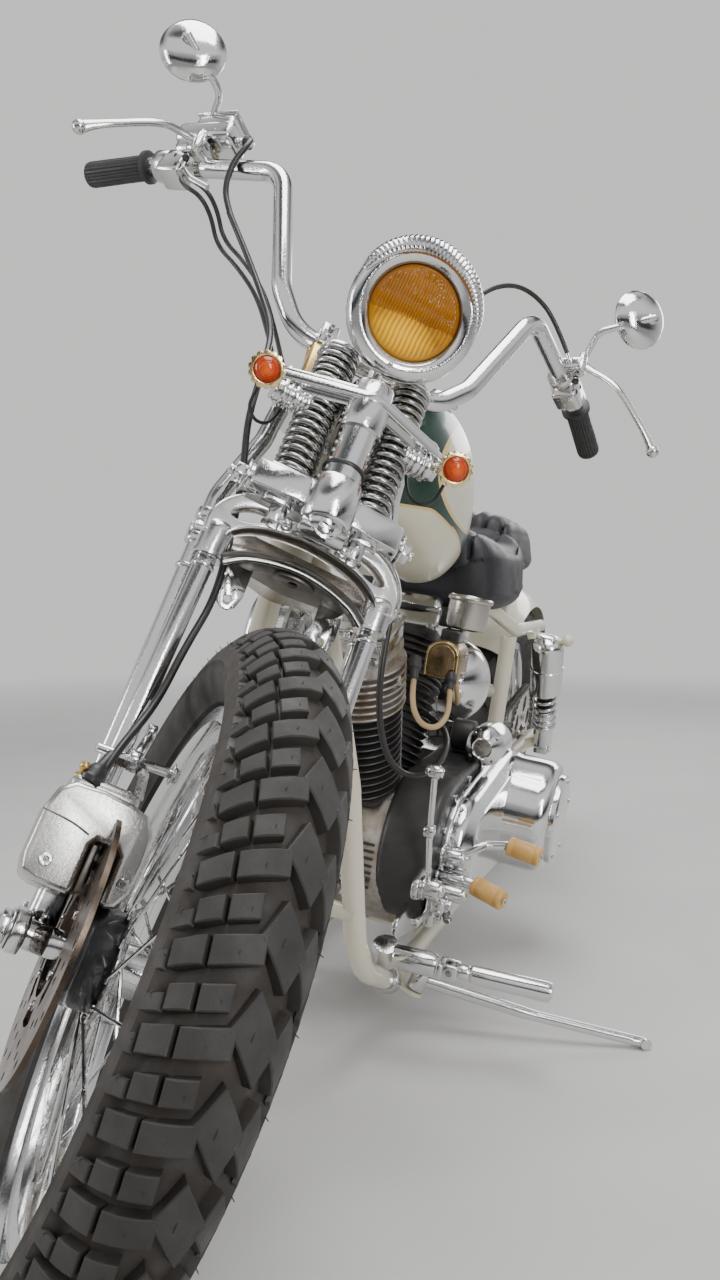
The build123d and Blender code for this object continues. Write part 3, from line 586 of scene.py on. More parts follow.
def mix_colour(tree, share, first, second):
    item = tree.nodes.new("ShaderNodeMix")
    item.data_type = "RGBA"
    for socket, value in ((item.inputs[0], share), (item.inputs[6], first), (item.inputs[7], second)):
        if isinstance(value, (int, float)):
            socket.default_value = value
        elif isinstance(value, tuple):
            socket.default_value = (*value, 1.0)
        else:
            tree.links.new(value, socket)
    return item.outputs[2]


def noise(tree, scale, detail=4.0, rough=0.55, vector=None):
    item = node(tree, "ShaderNodeTexNoise", Scale=scale, Detail=detail, Roughness=rough)
    if vector is None:
        vector = tree.nodes.new("ShaderNodeTexCoord").outputs["Object"]
    tree.links.new(vector, item.inputs["Vector"])
    return item.outputs["Fac"]


def dust_group():
    """Road dust: thicker on faces that look up, in patches, with fine speckle."""
    sockets = [("Amount", "NodeSocketFloat", 0.3), ("Patch Size", "NodeSocketFloat", 9.0)]
    group, given, out = socket_group("Road dust", sockets, [("Mask", "NodeSocketFloat")])
    links = group.links
    patches = node(group, "ShaderNodeTexNoise", Detail=5.0, Roughness=0.65)
    place = group.nodes.new("ShaderNodeTexCoord").outputs["Object"]
    links.new(place, patches.inputs["Vector"])
    links.new(given.outputs["Patch Size"], patches.inputs["Scale"])
    speckle = noise(group, 260.0, 2.0, 0.7, place)
    normal = group.nodes.new("ShaderNodeNewGeometry").outputs["Normal"]
    split = group.nodes.new("ShaderNodeSeparateXYZ")
    links.new(normal, split.inputs[0])
    upward = remap(group, split.outputs["Z"], -0.4, 1.0, 0.35, 1.0)
    patch = remap(group, patches.outputs["Fac"], 0.36, 0.68)
    fleck = remap(group, speckle, 0.3, 0.75, 0.55, 1.0)
    mask = math(group, "MULTIPLY", math(group, "MULTIPLY", patch, upward), fleck)
    links.new(math(group, "MULTIPLY", mask, given.outputs["Amount"], True), out.inputs["Mask"])
    return group


def wear_group():
    """Bright or dull edges, from how sharply the surface turns."""
    sockets = [("Width", "NodeSocketFloat", 0.002), ("Amount", "NodeSocketFloat", 1.0)]
    group, given, out = socket_group("Edge wear", sockets, [("Mask", "NodeSocketFloat")])
    links = group.links
    bevel = node(group, "ShaderNodeBevel", [("samples", 4)])
    links.new(given.outputs["Width"], bevel.inputs["Radius"])
    normal = group.nodes.new("ShaderNodeNewGeometry").outputs["Normal"]
    dot = group.nodes.new("ShaderNodeVectorMath")
    dot.operation = "DOT_PRODUCT"
    links.new(bevel.outputs[0], dot.inputs[0])
    links.new(normal, dot.inputs[1])
    edge = remap(group, dot.outputs["Value"], 0.985, 0.90)
    broken = remap(group, noise(group, 160.0, 3.0, 0.7), 0.35, 0.6)
    mask = math(group, "MULTIPLY", edge, broken)
    links.new(math(group, "MULTIPLY", mask, given.outputs["Amount"], True), out.inputs["Mask"])
    return group


def smudge_group():
    """Wiped streaks and fine scratches, for roughness and relief."""
    sockets = [
        ("Scale", "NodeSocketFloat", 14.0), ("Low", "NodeSocketFloat", 0.05),
        ("High", "NodeSocketFloat", 0.2)
    ]
    outputs = [("Roughness", "NodeSocketFloat"), ("Scratch", "NodeSocketFloat")]
    group, given, out = socket_group("Smudges", sockets, outputs)
    links = group.links
    place = group.nodes.new("ShaderNodeTexCoord").outputs["Object"]
    cloud = node(group, "ShaderNodeTexNoise", Detail=6.0, Roughness=0.6)
    links.new(place, cloud.inputs["Vector"])
    links.new(given.outputs["Scale"], cloud.inputs["Scale"])
    stretch = node(group, "ShaderNodeMapping", Scale=(180.0, 22.0, 60.0), Rotation=(0.4, 0.3, 0.9))
    links.new(place, stretch.inputs["Vector"])
    lines = noise(group, 6.0, 3.0, 0.7, stretch.outputs[0])
    share = remap(group, cloud.outputs["Fac"], 0.35, 0.7)
    ramp = group.nodes.new("ShaderNodeMix")
    links.new(share, ramp.inputs[0])
    links.new(given.outputs["Low"], ramp.inputs[2])
    links.new(given.outputs["High"], ramp.inputs[3])
    links.new(ramp.outputs[0], out.inputs["Roughness"])
    links.new(remap(group, lines, 0.52, 0.72), out.inputs["Scratch"])
    return group


DUST, WEAR, SMUDGE = dust_group(), wear_group(), smudge_group()
DUST_COLOUR = (0.34, 0.27, 0.19)


def use(tree, group, **values):
    item = tree.nodes.new("ShaderNodeGroup")
    item.node_tree = group
    for key, value in values.items():
        item.inputs[key.replace("_", " ")].default_value = value
    return item


def finish_of(name, **values):
    """A material with a Principled shader; values go on its own sockets."""
    material = bpy.data.materials.new(name)
    material.use_nodes = True
    tree = material.node_tree
    shader = tree.nodes["Principled BSDF"]
    for key, value in values.items():
        shader.inputs[key.replace("_", " ")].default_value = value
    return material, tree, shader


def relief(tree, shader, height, strength=0.3, distance=0.001, socket="Normal"):
    bump = node(tree, "ShaderNodeBump", Strength=strength, Distance=distance)
    tree.links.new(height, bump.inputs["Height"])
    tree.links.new(bump.outputs[0], shader.inputs[socket])


def cloud(tree, scale, detail, low=0.3, high=0.7, to_low=0.0, to_high=1.0, rough=0.55):
    return remap(tree, noise(tree, scale, detail, rough), low, high, to_low, to_high)


def dusted(tree, shader, base, amount, patch=9.0, colour=DUST_COLOUR):
    """Puts the base colour under dust, and gives back the mask of the dust."""
    mask = use(tree, DUST, Amount=amount, Patch_Size=patch).outputs[0]
    tree.links.new(mix_colour(tree, mask, base, colour), shader.inputs["Base Color"])
    return mask


def bright_metal(name, colour, low, high, dust=0.2, dust_colour=DUST_COLOUR, grain=0.0, stain=None):
    """Plated or polished metal with wiped smudges, a little dust and fine scratches."""
    material, tree, shader = finish_of(name, Metallic=1.0)
    smudge = use(tree, SMUDGE, Low=low, High=high)
    base = colour
    if stain:
        base = mix_colour(tree, cloud(tree, 26.0, 6.0, 0.42, 0.66, rough=0.7), colour, stain)
    mask = dusted(tree, shader, base, dust, colour=dust_colour)
    rough = math(tree, "ADD", smudge.outputs["Roughness"], math(tree, "MULTIPLY", mask, 0.6), True)
    rough = math(tree, "ADD", rough, math(tree, "MULTIPLY", smudge.outputs["Scratch"], 0.05), True)
    tree.links.new(rough, shader.inputs["Roughness"])
    tree.links.new(remap(tree, mask, 0.0, 1.0, 1.0, 0.3), shader.inputs["Metallic"])
    height = smudge.outputs["Scratch"]
    if grain > 0:
        height = math(tree, "ADD", height, math(tree, "MULTIPLY", noise(tree, 420.0, 3.0, 0.6), grain))
    relief(tree, shader, height, 0.12 if grain == 0 else 0.4, 0.0004)
    return material


def painted(name, colour, second, dust=0.25, coat=1.0, rough=0.32, wear_colour=None, orange=0.15):
    """Lacquered paint: slight mottling under a clear coat, dust on top, worn at edges."""
    material, tree, shader = finish_of(name, Coat_Weight=coat, Coat_Roughness=0.06)
    base = mix_colour(tree, cloud(tree, 7.0, 5.0), colour, second)
    if wear_colour:
        wear = use(tree, WEAR, Width=0.0015, Amount=0.8)
        base = mix_colour(tree, wear.outputs[0], base, wear_colour)
    mask = dusted(tree, shader, base, dust, 6.0)
    tree.links.new(remap(tree, mask, 0.0, 1.0, rough, 0.8), shader.inputs["Roughness"])
    relief(tree, shader, noise(tree, 90.0, 2.0), orange, 0.0003)
    return material


def dull(name, colour, second, rough=0.75, grain_scale=240.0, grain=0.35, dust=0.35, distance=0.0006):
    """Rubber, moulded plastic or cast metal left as it came."""
    material, tree, shader = finish_of(name)
    dusted(tree, shader, mix_colour(tree, cloud(tree, 18.0, 6.0), colour, second), dust, 12.0)
    tree.links.new(cloud(tree, 60.0, 3.0, 0.3, 0.7, rough - 0.1, rough + 0.1), shader.inputs["Roughness"])
    relief(tree, shader, noise(tree, grain_scale, 4.0, 0.65), grain, distance)
    return material


def shade_of(tree):
    return node(tree, "ShaderNodeAttribute", [("attribute_name", "shade")]).outputs["Fac"]


CHROME = bright_metal("Chrome", (0.66, 0.66, 0.66), 0.03, 0.10, 0.10)
CLEAN_CHROME = bright_metal("Clean chrome", (0.72, 0.72, 0.72), 0.02, 0.06, 0.05)
DULL_CHROME = bright_metal("Old chrome", (0.52, 0.50, 0.48), 0.10, 0.28, 0.30, stain=(0.34, 0.29, 0.24))
POLISHED = bright_metal("Polished aluminium", (0.68, 0.675, 0.66), 0.10, 0.20, 0.08)
BRUSHED = bright_metal("Brushed steel", (0.46, 0.44, 0.40), 0.16, 0.28, 0.12)
SATIN = bright_metal("Satin aluminium", (0.56, 0.55, 0.53), 0.22, 0.28, 0.05)
CAST_ALUMINIUM = bright_metal(
    "Cast aluminium", (0.52, 0.50, 0.47), 0.38, 0.6, 0.6, (0.30, 0.23, 0.16), 1.0, (0.33, 0.26, 0.18)
)
SPRING_STEEL = bright_metal("Spring steel", (0.40, 0.40, 0.39), 0.08, 0.22, 0.10, stain=(0.24, 0.24, 0.225))
DARK_STEEL = bright_metal("Dark steel", (0.16, 0.155, 0.15), 0.28, 0.5, 0.4, stain=(0.11, 0.09, 0.07))
BRASS = bright_metal("Brass", (0.72, 0.50, 0.19), 0.14, 0.3, 0.12)
DISC_STEEL = bright_metal(
    "Brown disc steel", (0.17, 0.135, 0.11), 0.2, 0.4, 0.10, stain=(0.11, 0.075, 0.05)
)
BRONZE = bright_metal("Bronze", (0.34, 0.25, 0.14), 0.18, 0.34, 0.15, stain=(0.24, 0.17, 0.09))
GOLD = bright_metal("Gold trim", (0.80, 0.62, 0.30), 0.08, 0.2, 0.15)
BLACK_CASTING = dull("Black casting", (0.020, 0.020, 0.021), (0.036, 0.034, 0.032), 0.42, 380.0, 0.3, 0.07)
BLACK_PAINT = painted("Black paint", (0.010, 0.010, 0.011), (0.016, 0.015, 0.015), 0.05, 0.8)
CREAM_PAINT = painted(
    "Cream paint", (0.72, 0.67, 0.53), (0.66, 0.61, 0.47), 0.2, 0.9, 0.3, (0.30, 0.24, 0.18)
)
RUBBER = dull("Black rubber", (0.016, 0.016, 0.017), (0.028, 0.027, 0.027), 0.5, 300.0, 0.3, 0.06)
HOSE = dull("Black hose", (0.013, 0.013, 0.014), (0.022, 0.021, 0.021), 0.36, 200.0, 0.15, 0.08)
TAN_RUBBER = dull("Caramel rubber", (0.66, 0.40, 0.12), (0.56, 0.31, 0.08), 0.45, 260.0, 0.15, 0.08)
TAN_LEAD = dull("Tan cloth lead", (0.50, 0.36, 0.20), (0.42, 0.29, 0.15), 0.8, 700.0, 0.5, 0.2)


def tyre_rubber():
    """Slate grey blocks, with brown road dust and painted shade in the grooves and on the shoulders."""
    material, tree, shader = finish_of("Tyre rubber")
    base = mix_colour(tree, cloud(tree, 30.0, 6.0), (0.022, 0.021, 0.020), (0.040, 0.037, 0.034))
    streak = cloud(tree, 70.0, 6.0, 0.35, 0.65, 0.25, 1.0, 0.7)
    # The shade attribute marks the grooves: road dust and painted shade, tinted dark brown.
    groove_dust_and_shade = math(tree, "MULTIPLY", shade_of(tree), streak, True)
    base = mix_colour(tree, groove_dust_and_shade, base, (0.030, 0.021, 0.014))
    dusted(tree, shader, base, 0.12, 14.0, (0.14, 0.115, 0.09))
    tree.links.new(cloud(tree, 44.0, 3.0, 0.3, 0.7, 0.55, 0.8), shader.inputs["Roughness"])
    relief(tree, shader, noise(tree, 340.0, 5.0, 0.7), 0.4, 0.0006)
    return material


def tank_paint():
    """Dark green over a cream lower panel, with a gold line where they meet."""
    material, tree, shader = finish_of(
        "Tank paint", Coat_Weight=0.35, Coat_Roughness=0.04, Specular_IOR_Level=0.3
    )
    green = mix_colour(tree, cloud(tree, 420.0, 2.0, 0.35), (0.004, 0.026, 0.015), (0.008, 0.044, 0.027))
    cream = mix_colour(tree, cloud(tree, 7.0, 4.0), (0.70, 0.66, 0.52), (0.64, 0.60, 0.46))
    rise = shade_of(tree)
    base = mix_colour(tree, remap(tree, rise, -0.25, 0.25), cream, green)
    line = math(tree, "LESS_THAN", math(tree, "ABSOLUTE", rise, 0.0), 2.0)
    base = mix_colour(tree, line, base, (0.70, 0.50, 0.20))
    mask = dusted(tree, shader, base, 0.015, 5.0)
    tree.links.new(remap(tree, mask, 0.0, 1.0, 0.3, 0.7), shader.inputs["Roughness"])
    relief(tree, shader, noise(tree, 60.0, 2.0), 0.1, 0.0003)
    return material


def seat_leather():
    """Black leather: fine pebbled grain, patchy sheen, dust in the seams."""
    material, tree, shader = finish_of("Black leather", Specular_IOR_Level=0.4)
    cells = node(tree, "ShaderNodeTexVoronoi", [("feature", "DISTANCE_TO_EDGE")], Scale=420.0)
    tree.links.new(tree.nodes.new("ShaderNodeTexCoord").outputs["Object"], cells.inputs["Vector"])
    pebble = remap(tree, cells.outputs["Distance"], 0.0, 0.25)
    base = mix_colour(tree, cloud(tree, 12.0, 6.0), (0.014, 0.014, 0.017), (0.028, 0.028, 0.032))
    seam = math(tree, "MULTIPLY", shade_of(tree), cloud(tree, 40.0, 4.0, 0.3, 0.7, 0.3, 1.0), True)
    tree.links.new(mix_colour(tree, seam, base, (0.030, 0.026, 0.022)), shader.inputs["Base Color"])
    tree.links.new(cloud(tree, 26.0, 4.0, 0.3, 0.7, 0.40, 0.58), shader.inputs["Roughness"])
    crease = math(tree, "ADD", pebble, math(tree, "MULTIPLY", noise(tree, 34.0, 5.0, 0.7), 2.0))
    relief(tree, shader, crease, 0.3, 0.0007)
    return material


def lens_glass(name, colour, second, painted_glow, glow):
    """A moulded lens that scatters a little light within it, with a painted glow: it emits its own colour,
    and the shade attribute mixes in the painted glow colour.
    """
    gloss = {"Roughness": 0.12, "Coat_Weight": 0.25, "Coat_Roughness": 0.03, "Specular_IOR_Level": 0.35}
    material, tree, shader = finish_of(name, **gloss, Subsurface_Weight=0.08)
    base = mix_colour(tree, cloud(tree, 16.0, 3.0), colour, second)
    base = mix_colour(tree, shade_of(tree), base, painted_glow)
    tree.links.new(base, shader.inputs["Base Color"])
    # Painted glow: the lens emits its own colour.
    tree.links.new(base, shader.inputs["Emission Color"])
    shader.inputs["Emission Strength"].default_value = glow
    shader.inputs["Subsurface Radius"].default_value = (0.01, 0.006, 0.002)
    return material


def mirror_glass():
    material, tree, shader = finish_of("Mirror glass", Metallic=1.0)
    mask = dusted(tree, shader, (0.86, 0.88, 0.89), 0.2)
    tree.links.new(remap(tree, mask, 0.0, 0.5, 0.01, 0.5), shader.inputs["Roughness"])
    return material


TYRE, TANK_PAINT, LEATHER, MIRROR_GLASS = tyre_rubber(), tank_paint(), seat_leather(), mirror_glass()
# Each lens: two colours, the painted glow colour, and the strength of its painted glow.
AMBER_LENS = lens_glass(
    "Deep amber glass", (0.17, 0.052, 0.002), (0.27, 0.095, 0.003), (0.95, 0.50, 0.004), 0.42
)
ORANGE_LENS = lens_glass(
    "Orange lens", (0.33, 0.020, 0.001), (0.42, 0.032, 0.002), (0.80, 0.12, 0.005), 0.14
)

# Camera, light and floor


def camera():
    """The photograph's view, in the chassis frame leaned by what its own fit gives."""
    photo_lean, yaw, pitch, roll = radians(8.9133), radians(19.7079), radians(-3.95337), radians(0.07571)
    spot = Vector((594.84, -1587.92, 693.30))
    look = Matrix.Rotation(yaw, 3, "Z") @ Matrix.Rotation(pitch, 3, "X") @ Matrix.Rotation(roll, 3, "Y")
    upright = Matrix.Rotation(photo_lean, 3, "Y").inverted()
    look = upright @ look
    basis = CHASSIS.to_3x3().normalized() @ look
    place = Matrix((basis.col[0], basis.col[2], -basis.col[1])).transposed().to_4x4()
    place.translation = CHASSIS @ (upright @ spot)
    data = bpy.data.cameras.new("camera")
    data.lens = 28.85
    data.clip_start = 0.05
    item = bpy.data.objects.new("camera", data)
    bpy.context.scene.collection.objects.link(item)
    item.matrix_world = place
    bpy.context.scene.camera = item


def lamp(name, at, target, size, power, colour=(1, 1, 1)):
    data = bpy.data.lights.new(name, "AREA")
    data.shape, data.size, data.size_y, data.energy, data.color = "RECTANGLE", *size, power, colour
    item = bpy.data.objects.new(name, data)
    item.location = at
    item.rotation_euler = (Vector(target) - Vector(at)).to_track_quat("-Z", "Y").to_euler()
    bpy.context.scene.collection.objects.link(item)


def studio():
    world = bpy.data.worlds.new("Studio")
    bpy.context.scene.world = world
    world.use_nodes = True
    tree = world.node_tree
    plain, path = tree.nodes["Background"], tree.nodes.new("ShaderNodeLightPath")
    plain.inputs["Color"].default_value = (0.42, 0.42, 0.43, 1)
    split = tree.nodes.new("ShaderNodeSeparateXYZ")
    tree.links.new(tree.nodes.new("ShaderNodeTexCoord").outputs["Generated"], split.inputs[0])
    height = remap(tree, split.outputs["Z"], -1.0, 1.0)

    def tones(stops):
        ramp = tree.nodes.new("ShaderNodeValToRGB")
        for position, _ in stops[1:-1]:
            ramp.color_ramp.elements.new(position)
        for element, (position, level) in zip(ramp.color_ramp.elements, stops):
            element.position, element.color = position, (level, level, level * 1.02, 1)
        tree.links.new(height, ramp.inputs[0])
        return ramp.outputs[0]

    ahead = tones(
        [
            (0.0, 0.55), (0.48, 0.62), (0.52, 0.78), (0.73, 0.78), (0.79, 0.10), (0.86, 0.12), (0.92, 0.85),
            (1.0, 0.9)
        ]
    )
    behind = tones(
        [
            (0.0, 0.40), (0.48, 0.34), (0.505, 0.05), (0.57, 0.05), (0.61, 0.36), (0.67, 0.50),
            (0.71, 0.95), (0.88, 0.95), (0.91, 0.12), (0.95, 0.12), (1.0, 0.6)
        ]
    )
    toward = math(
        tree, "ADD", math(tree, "MULTIPLY", split.outputs["Y"], -0.93),
        math(tree, "MULTIPLY", split.outputs["X"], 0.36)
    )
    backdrop = mix_colour(tree, remap(tree, toward, -0.35, 0.35), ahead, behind)
    pale = tree.nodes.new("ShaderNodeBackground")
    tree.links.new(
        mix_colour(tree, path.outputs["Is Camera Ray"], backdrop, (0.78, 0.78, 0.77)), pale.inputs["Color"]
    )
    shown = math(tree, "ADD", path.outputs["Is Camera Ray"], path.outputs["Is Glossy Ray"], True)
    shown = math(tree, "ADD", shown, path.outputs["Is Transmission Ray"], True)
    blend = tree.nodes.new("ShaderNodeMixShader")
    tree.links.new(shown, blend.inputs[0])
    tree.links.new(plain.outputs[0], blend.inputs[1])
    tree.links.new(pale.outputs[0], blend.inputs[2])
    tree.links.new(blend.outputs[0], tree.nodes["World Output"].inputs["Surface"])
    lamp("overhead", (0.2, -0.2, 3.2), (0, 0, 0.3), (1.5, 2.6), 88)
    lamp("front_left", (2.6, -2.6, 1.7), (0, -0.3, 0.6), (0.7, 2.0), 58)
    lamp("front_right", (-2.6, -2.0, 1.5), (0, -0.3, 0.5), (0.5, 1.8), 32)
    lamp("rear", (0.6, 3.4, 1.9), (0, 0.2, 0.5), (2.4, 1.0), 36)

    ring = 6.0
    mesh = bpy.data.meshes.new("floor")
    points = [(0.0, 0.0, 0.0)] + [(x, y, 0.0) for x, y in ellipse(ring, ring, 64)]
    mesh.from_pydata(points, [], [(0, i + 1, (i + 1) % 64 + 1) for i in range(64)])
    floor = bpy.data.objects.new("floor", mesh)
    bpy.context.scene.collection.objects.link(floor)
    material, tree, shader = finish_of("Floor", Roughness=0.85)
    tone = mix_colour(tree, cloud(tree, 3.0, 6.0), (0.56, 0.555, 0.545), (0.60, 0.595, 0.58))
    tree.links.new(tone, shader.inputs["Base Color"])
    length = tree.nodes.new("ShaderNodeVectorMath")
    length.operation = "LENGTH"
    tree.links.new(tree.nodes.new("ShaderNodeTexCoord").outputs["Object"], length.inputs[0])
    tree.links.new(remap(tree, length.outputs["Value"], 2.6, 5.6, 1.0, 0.0), shader.inputs["Alpha"])
    mesh.materials.append(material)


camera()
studio()

# Wheels, in frames whose X is the axle

TO_X = turn(90, "Y")
TO_SIDE = Matrix(((0, 0, 1, 0), (1, 0, 0, 0), (0, 1, 0, 0), (0, 0, 0, 1)))
BLOCK_H = 9.5


def arc_through(first, middle, last, steps):
    """Points along the arc through three points, and the way out from its centre at each."""
    (ax, ay), (bx, by), (cx, cy) = first, middle, last
    d = 2 * (ax * (by - cy) + bx * (cy - ay) + cx * (ay - by))
    ux = ((ax**2 + ay**2) * (by - cy) + (bx**2 + by**2) * (cy - ay) + (cx**2 + cy**2) * (ay - by)) / d
    uy = ((ax**2 + ay**2) * (cx - bx) + (bx**2 + by**2) * (ax - cx) + (cx**2 + cy**2) * (bx - ax)) / d
    centre = Vector((ux, uy))
    start, end = Vector(first) - centre, Vector(last) - centre
    sweep_angle = start.angle_signed(end)
    points = []
    for index in range(steps + 1):
        arm = start.copy()
        arm.rotate(Matrix.Rotation(-sweep_angle * index / steps, 2))
        points.append((centre + arm, arm.normalized()))
    return points


class Casing:
    """The outer surface of a tyre: width from the middle along the rubber, then out from it."""

    def __init__(self, radius, width, tread_half, drop, bead_r, rim_half):
        shoulder = radius - drop
        foot = bead_r + 14.0
        middle = (bead_r + 13.0 + shoulder) / 2
        crown = arc_through((-tread_half, shoulder), (0, radius), (tread_half, shoulder), 24)[12:]
        side = arc_through((tread_half, shoulder), (width / 2, middle), (rim_half - 4.5, foot), 12)
        self.line = crown + side[1:]
        self.radius, self.bead_r, self.seat = radius, bead_r, rim_half - 4.5

    def at(self, along, depth=0.0):
        """(x, radius) at a distance along the rubber from the middle, and a depth below the surface."""
        left = abs(along)
        for (a, out_a), (b, out_b) in zip(self.line, self.line[1:]):
            run = (b - a).length
            if left <= run or b is self.line[-1][0]:
                share = min(left / run, 1.0)
                spot, out = a.lerp(b, share), out_a.lerp(out_b, share).normalized()
                spot = spot - out * depth
                return (spot.x if along >= 0 else -spot.x, spot.y)
            left -= run

    def point(self, along, round_mm, depth=0.0):
        x, r = self.at(along, depth)
        angle = round_mm / self.radius
        return Vector((x, r * sin(angle), r * cos(angle)))


def tread_block(casing, corners, depth=BLOCK_H, bevel=1.3):
    """One raised block: corners are (along the rubber, round the tyre), in order round its edge."""
    (s0, t0), (s1, t1), (s2, t2), (s3, t3) = corners
    columns = 3
    mesh = bmesh.new()
    middle_s, middle_t = (s0 + s1 + s2 + s3) / 4, (t0 + t1 + t2 + t3) / 4

    def row(shrink, sink):
        loop = []
        for sa, ta, sb, tb in ((s0, t0, s1, t1), (s2, t2, s3, t3)):
            for share in [i / columns for i in range(columns + 1)]:
                loop.append((sa + (sb - sa) * share, ta + (tb - ta) * share))
        verts = []
        for s, t in loop:
            run = Vector((middle_s - s, middle_t - t))
            run = run.normalized() * shrink
            verts.append(mesh.verts.new(casing.point(s + run.x, t + run.y, sink)))
        return verts

    foot, edge, top = row(-1.2, depth + 0.6), row(0.0, bevel * 0.7), row(bevel, 0.0)
    size = len(foot)
    for low, high in ((foot, edge), (edge, top)):
        for i in range(size):
            j = (i + 1) % size
            mesh.faces.new([low[i], low[j], high[j], high[i]])
    for i in range(columns):
        mesh.faces.new([top[i], top[i + 1], top[size - 2 - i], top[size - 1 - i]])
    return from_bmesh(mesh)


def tread(casing, pitches, scale=1.0):
    """One pitch of the tread: blocks of both halves, staggered, turned into a ring."""
    pitch = 2 * pi * casing.radius / pitches
    step = pitch / 2
    seeded = random.Random(4)
    parts = []
    rows = [
        (-1, 0.0, step * 0.66, 0.30, (-5.0, 30.0, 34.0, 60.0)),
        (-1, step, step * 0.58, 0.30, (6.0, 27.0, 31.0, 50.0)),
        (1, step * 0.5, pitch * 0.48, 0.95, (-3.0, 27.0, 31.5, 59.0)),
    ]
    for side, base, tall, slope, reach in rows:
        a, b, c, d = (value * scale for value in reach)
        late = pitch * 0.42 if side > 0 else 0.0
        parts.append(tread_block(casing, slanted_pair(side, a, b, base, tall, slope)))
        parts.append(tread_block(casing, slanted_pair(side, c, d, base + late + tall * 0.04, tall, slope)))
        rib = slanted_pair(side, d + 3.2 * scale, 72.0 * scale, base + late, tall * 0.7, slope)
        parts.append(tread_block(casing, rib, 3.0, 0.8))
        for spot in (14.0 * scale, 64.0 * scale):
            root = casing.point(side * spot, base + tall * seeded.uniform(0.2, 0.9) - spot * slope, 1.0)
            along = side * (spot + seeded.uniform(-2, 2))
            tip = casing.point(along, base + tall * 0.5 - spot * slope, -1.0 if spot < 40 else -3.0)
            way = (tip - root).normalized()
            parts.append(aimed(lathe([(0.55, 0), (0.4, (tip - root).length)], 3), root, way))
    return ring_of(joined(*parts), pitches)


def slanted_pair(side, inner, outer, base, tall, slope):
    """Corners of a block on one half; its ends are square to the slant of its long edges."""
    low_in, low_out = base - inner * slope, base - outer * slope
    pull = tall * slope * 0.45
    loop = [
        (inner, low_in), (outer, low_out), (outer + pull, low_out + tall), (inner + pull, low_in + tall)
    ]
    return [(side * s, t) for s, t in loop]


def tyre(name, place, body, casing, pitches, scale, node_name):
    profile = []
    total = sum((b - a).length for (a, _), (b, _) in zip(casing.line, casing.line[1:]))
    for index in range(37):
        along = total * index / 36
        fade = unit((68.0 * scale - along) / (8.0 * scale))
        bulge = 1.6 if 80 < along < 84 or total - 8 < along < total - 4 else 0.0
        profile.append(casing.at(along, BLOCK_H * fade - bulge + 0.2))
    half = [(r, x) for x, r in profile]
    seat = [(casing.bead_r + 0.6, casing.seat), (casing.bead_r + 0.6, -casing.seat)]
    loop = [(r, -x) for r, x in half[::-1]][:-1] + half + seat
    shell = moved(lathe(loop, 116, True), TO_X)
    piece = Piece(name, place, body, "tyre", node_name)

    depths = [casing.radius - sqrt(point.y**2 + point.z**2) for point in shell[0]]
    # Shade attribute: groove dust and painted shade, strong on the groove floors, weaker on the sidewalls.
    piece.add(TYRE, shell, shade=[0.35 if depth > 60 * scale else 0.95 for depth in depths])
    blocks = tread(casing, pitches, scale)
    # Block shade: more groove dust and painted shade further down each block's sides.
    shades = []
    for point in blocks[0]:
        best = 99.0
        out = sqrt(point.y**2 + point.z**2)
        for spot, way in casing.line[::2]:
            gap = (spot - Vector((abs(point.x), out))).dot(way)
            near = (spot - Vector((abs(point.x), out))).length
            if near < best:
                best, depth = near, gap
        shades.append(unit(depth / 7.0))
    piece.add(TYRE, blocks, shade=shades)
    piece.done(30)


def wheel(name, place, body, node_name, bead_r, half, hub_r, flange_r, flange_x, hub_half):
    """Rim, laced spokes with nipples, and the hub."""
    piece = Piece(name, place, body, "chrome", node_name)
    well, base = half * 0.45, bead_r - 18.0
    outer = [
        (bead_r + 12, half), (bead_r + 13, half - 1.2), (bead_r + 13, half - 3), (bead_r + 11, half - 4),
        (bead_r, half - 5), (bead_r - 1, half - 7), (bead_r - 2, well + 6), (base + 2, well + 1),
        (base, well - 3)
    ]
    inner = [
        (base - 4, well - 1), (base - 2, well + 5), (bead_r - 7, well + 9), (bead_r - 6, half - 4),
        (bead_r - 3, half)
    ]
    loop = outer + [(r, -x) for r, x in reversed(outer)]
    loop += [(r, -x) for r, x in inner[::-1]] + inner
    piece.add(CHROME, lathe(loop, 120, True), at=TO_X)
    hub = [
        (10.2, -hub_half), (hub_r - 7, -hub_half), (hub_r - 6, -hub_half + 1), (hub_r - 6, -flange_x - 5),
        (hub_r, -flange_x - 3), (flange_r - 1, -flange_x - 3), (flange_r, -flange_x - 2),
        (flange_r, -flange_x + 2), (flange_r - 1, -flange_x + 3), (hub_r + 3, -flange_x + 4),
        (hub_r, -flange_x + 9)
    ]
    hub = hub + [(r, -x) for r, x in hub[::-1]]
    piece.add(CHROME, lathe(hub, 56, True), at=TO_X)
    head = lathe([(0, -1), (3.4, -1), (3.4, 0.6), (2, 1.8), (0, 1.8)], 8)
    nipple = lathe([(2.2, 0), (3.2, 2), (3.2, 17), (2.6, 19)], 8)
    lace, nipples = [], []
    for side in (-1, 1):
        for lean in (0, 1):
            start = radians(18.0 * lean)
            end = start + radians((1 if lean else -1) * side * 40.5)
            x = side * (flange_x + (3.5 if lean else -3.5))
            foot = Vector((x, (flange_r - 6) * cos(start), (flange_r - 6) * sin(start)))
            tip = Vector((side * 5, (base - 3) * cos(end), (base - 3) * sin(end)))
            run = (tip - foot).normalized()
            lace.append(between(foot, tip, 1.9, 0.2, 8))
            lace.append(aimed(head, foot, (side if lean else -side, 0, 0)))
            nipples.append(aimed(nipple, tip - run * 15, run))
    piece.add(CHROME, ring_of(joined(*lace), 10))
    piece.add(DULL_CHROME, ring_of(joined(*nipples), 10))
    nut = aimed(dome_nut(4.5, 5), (-flange_x - 3, 0, (hub_r + flange_r) / 2 - 1), (-1, 0, 0))
    piece.add(CHROME, ring_of(nut, 5))
    piece.done(40)


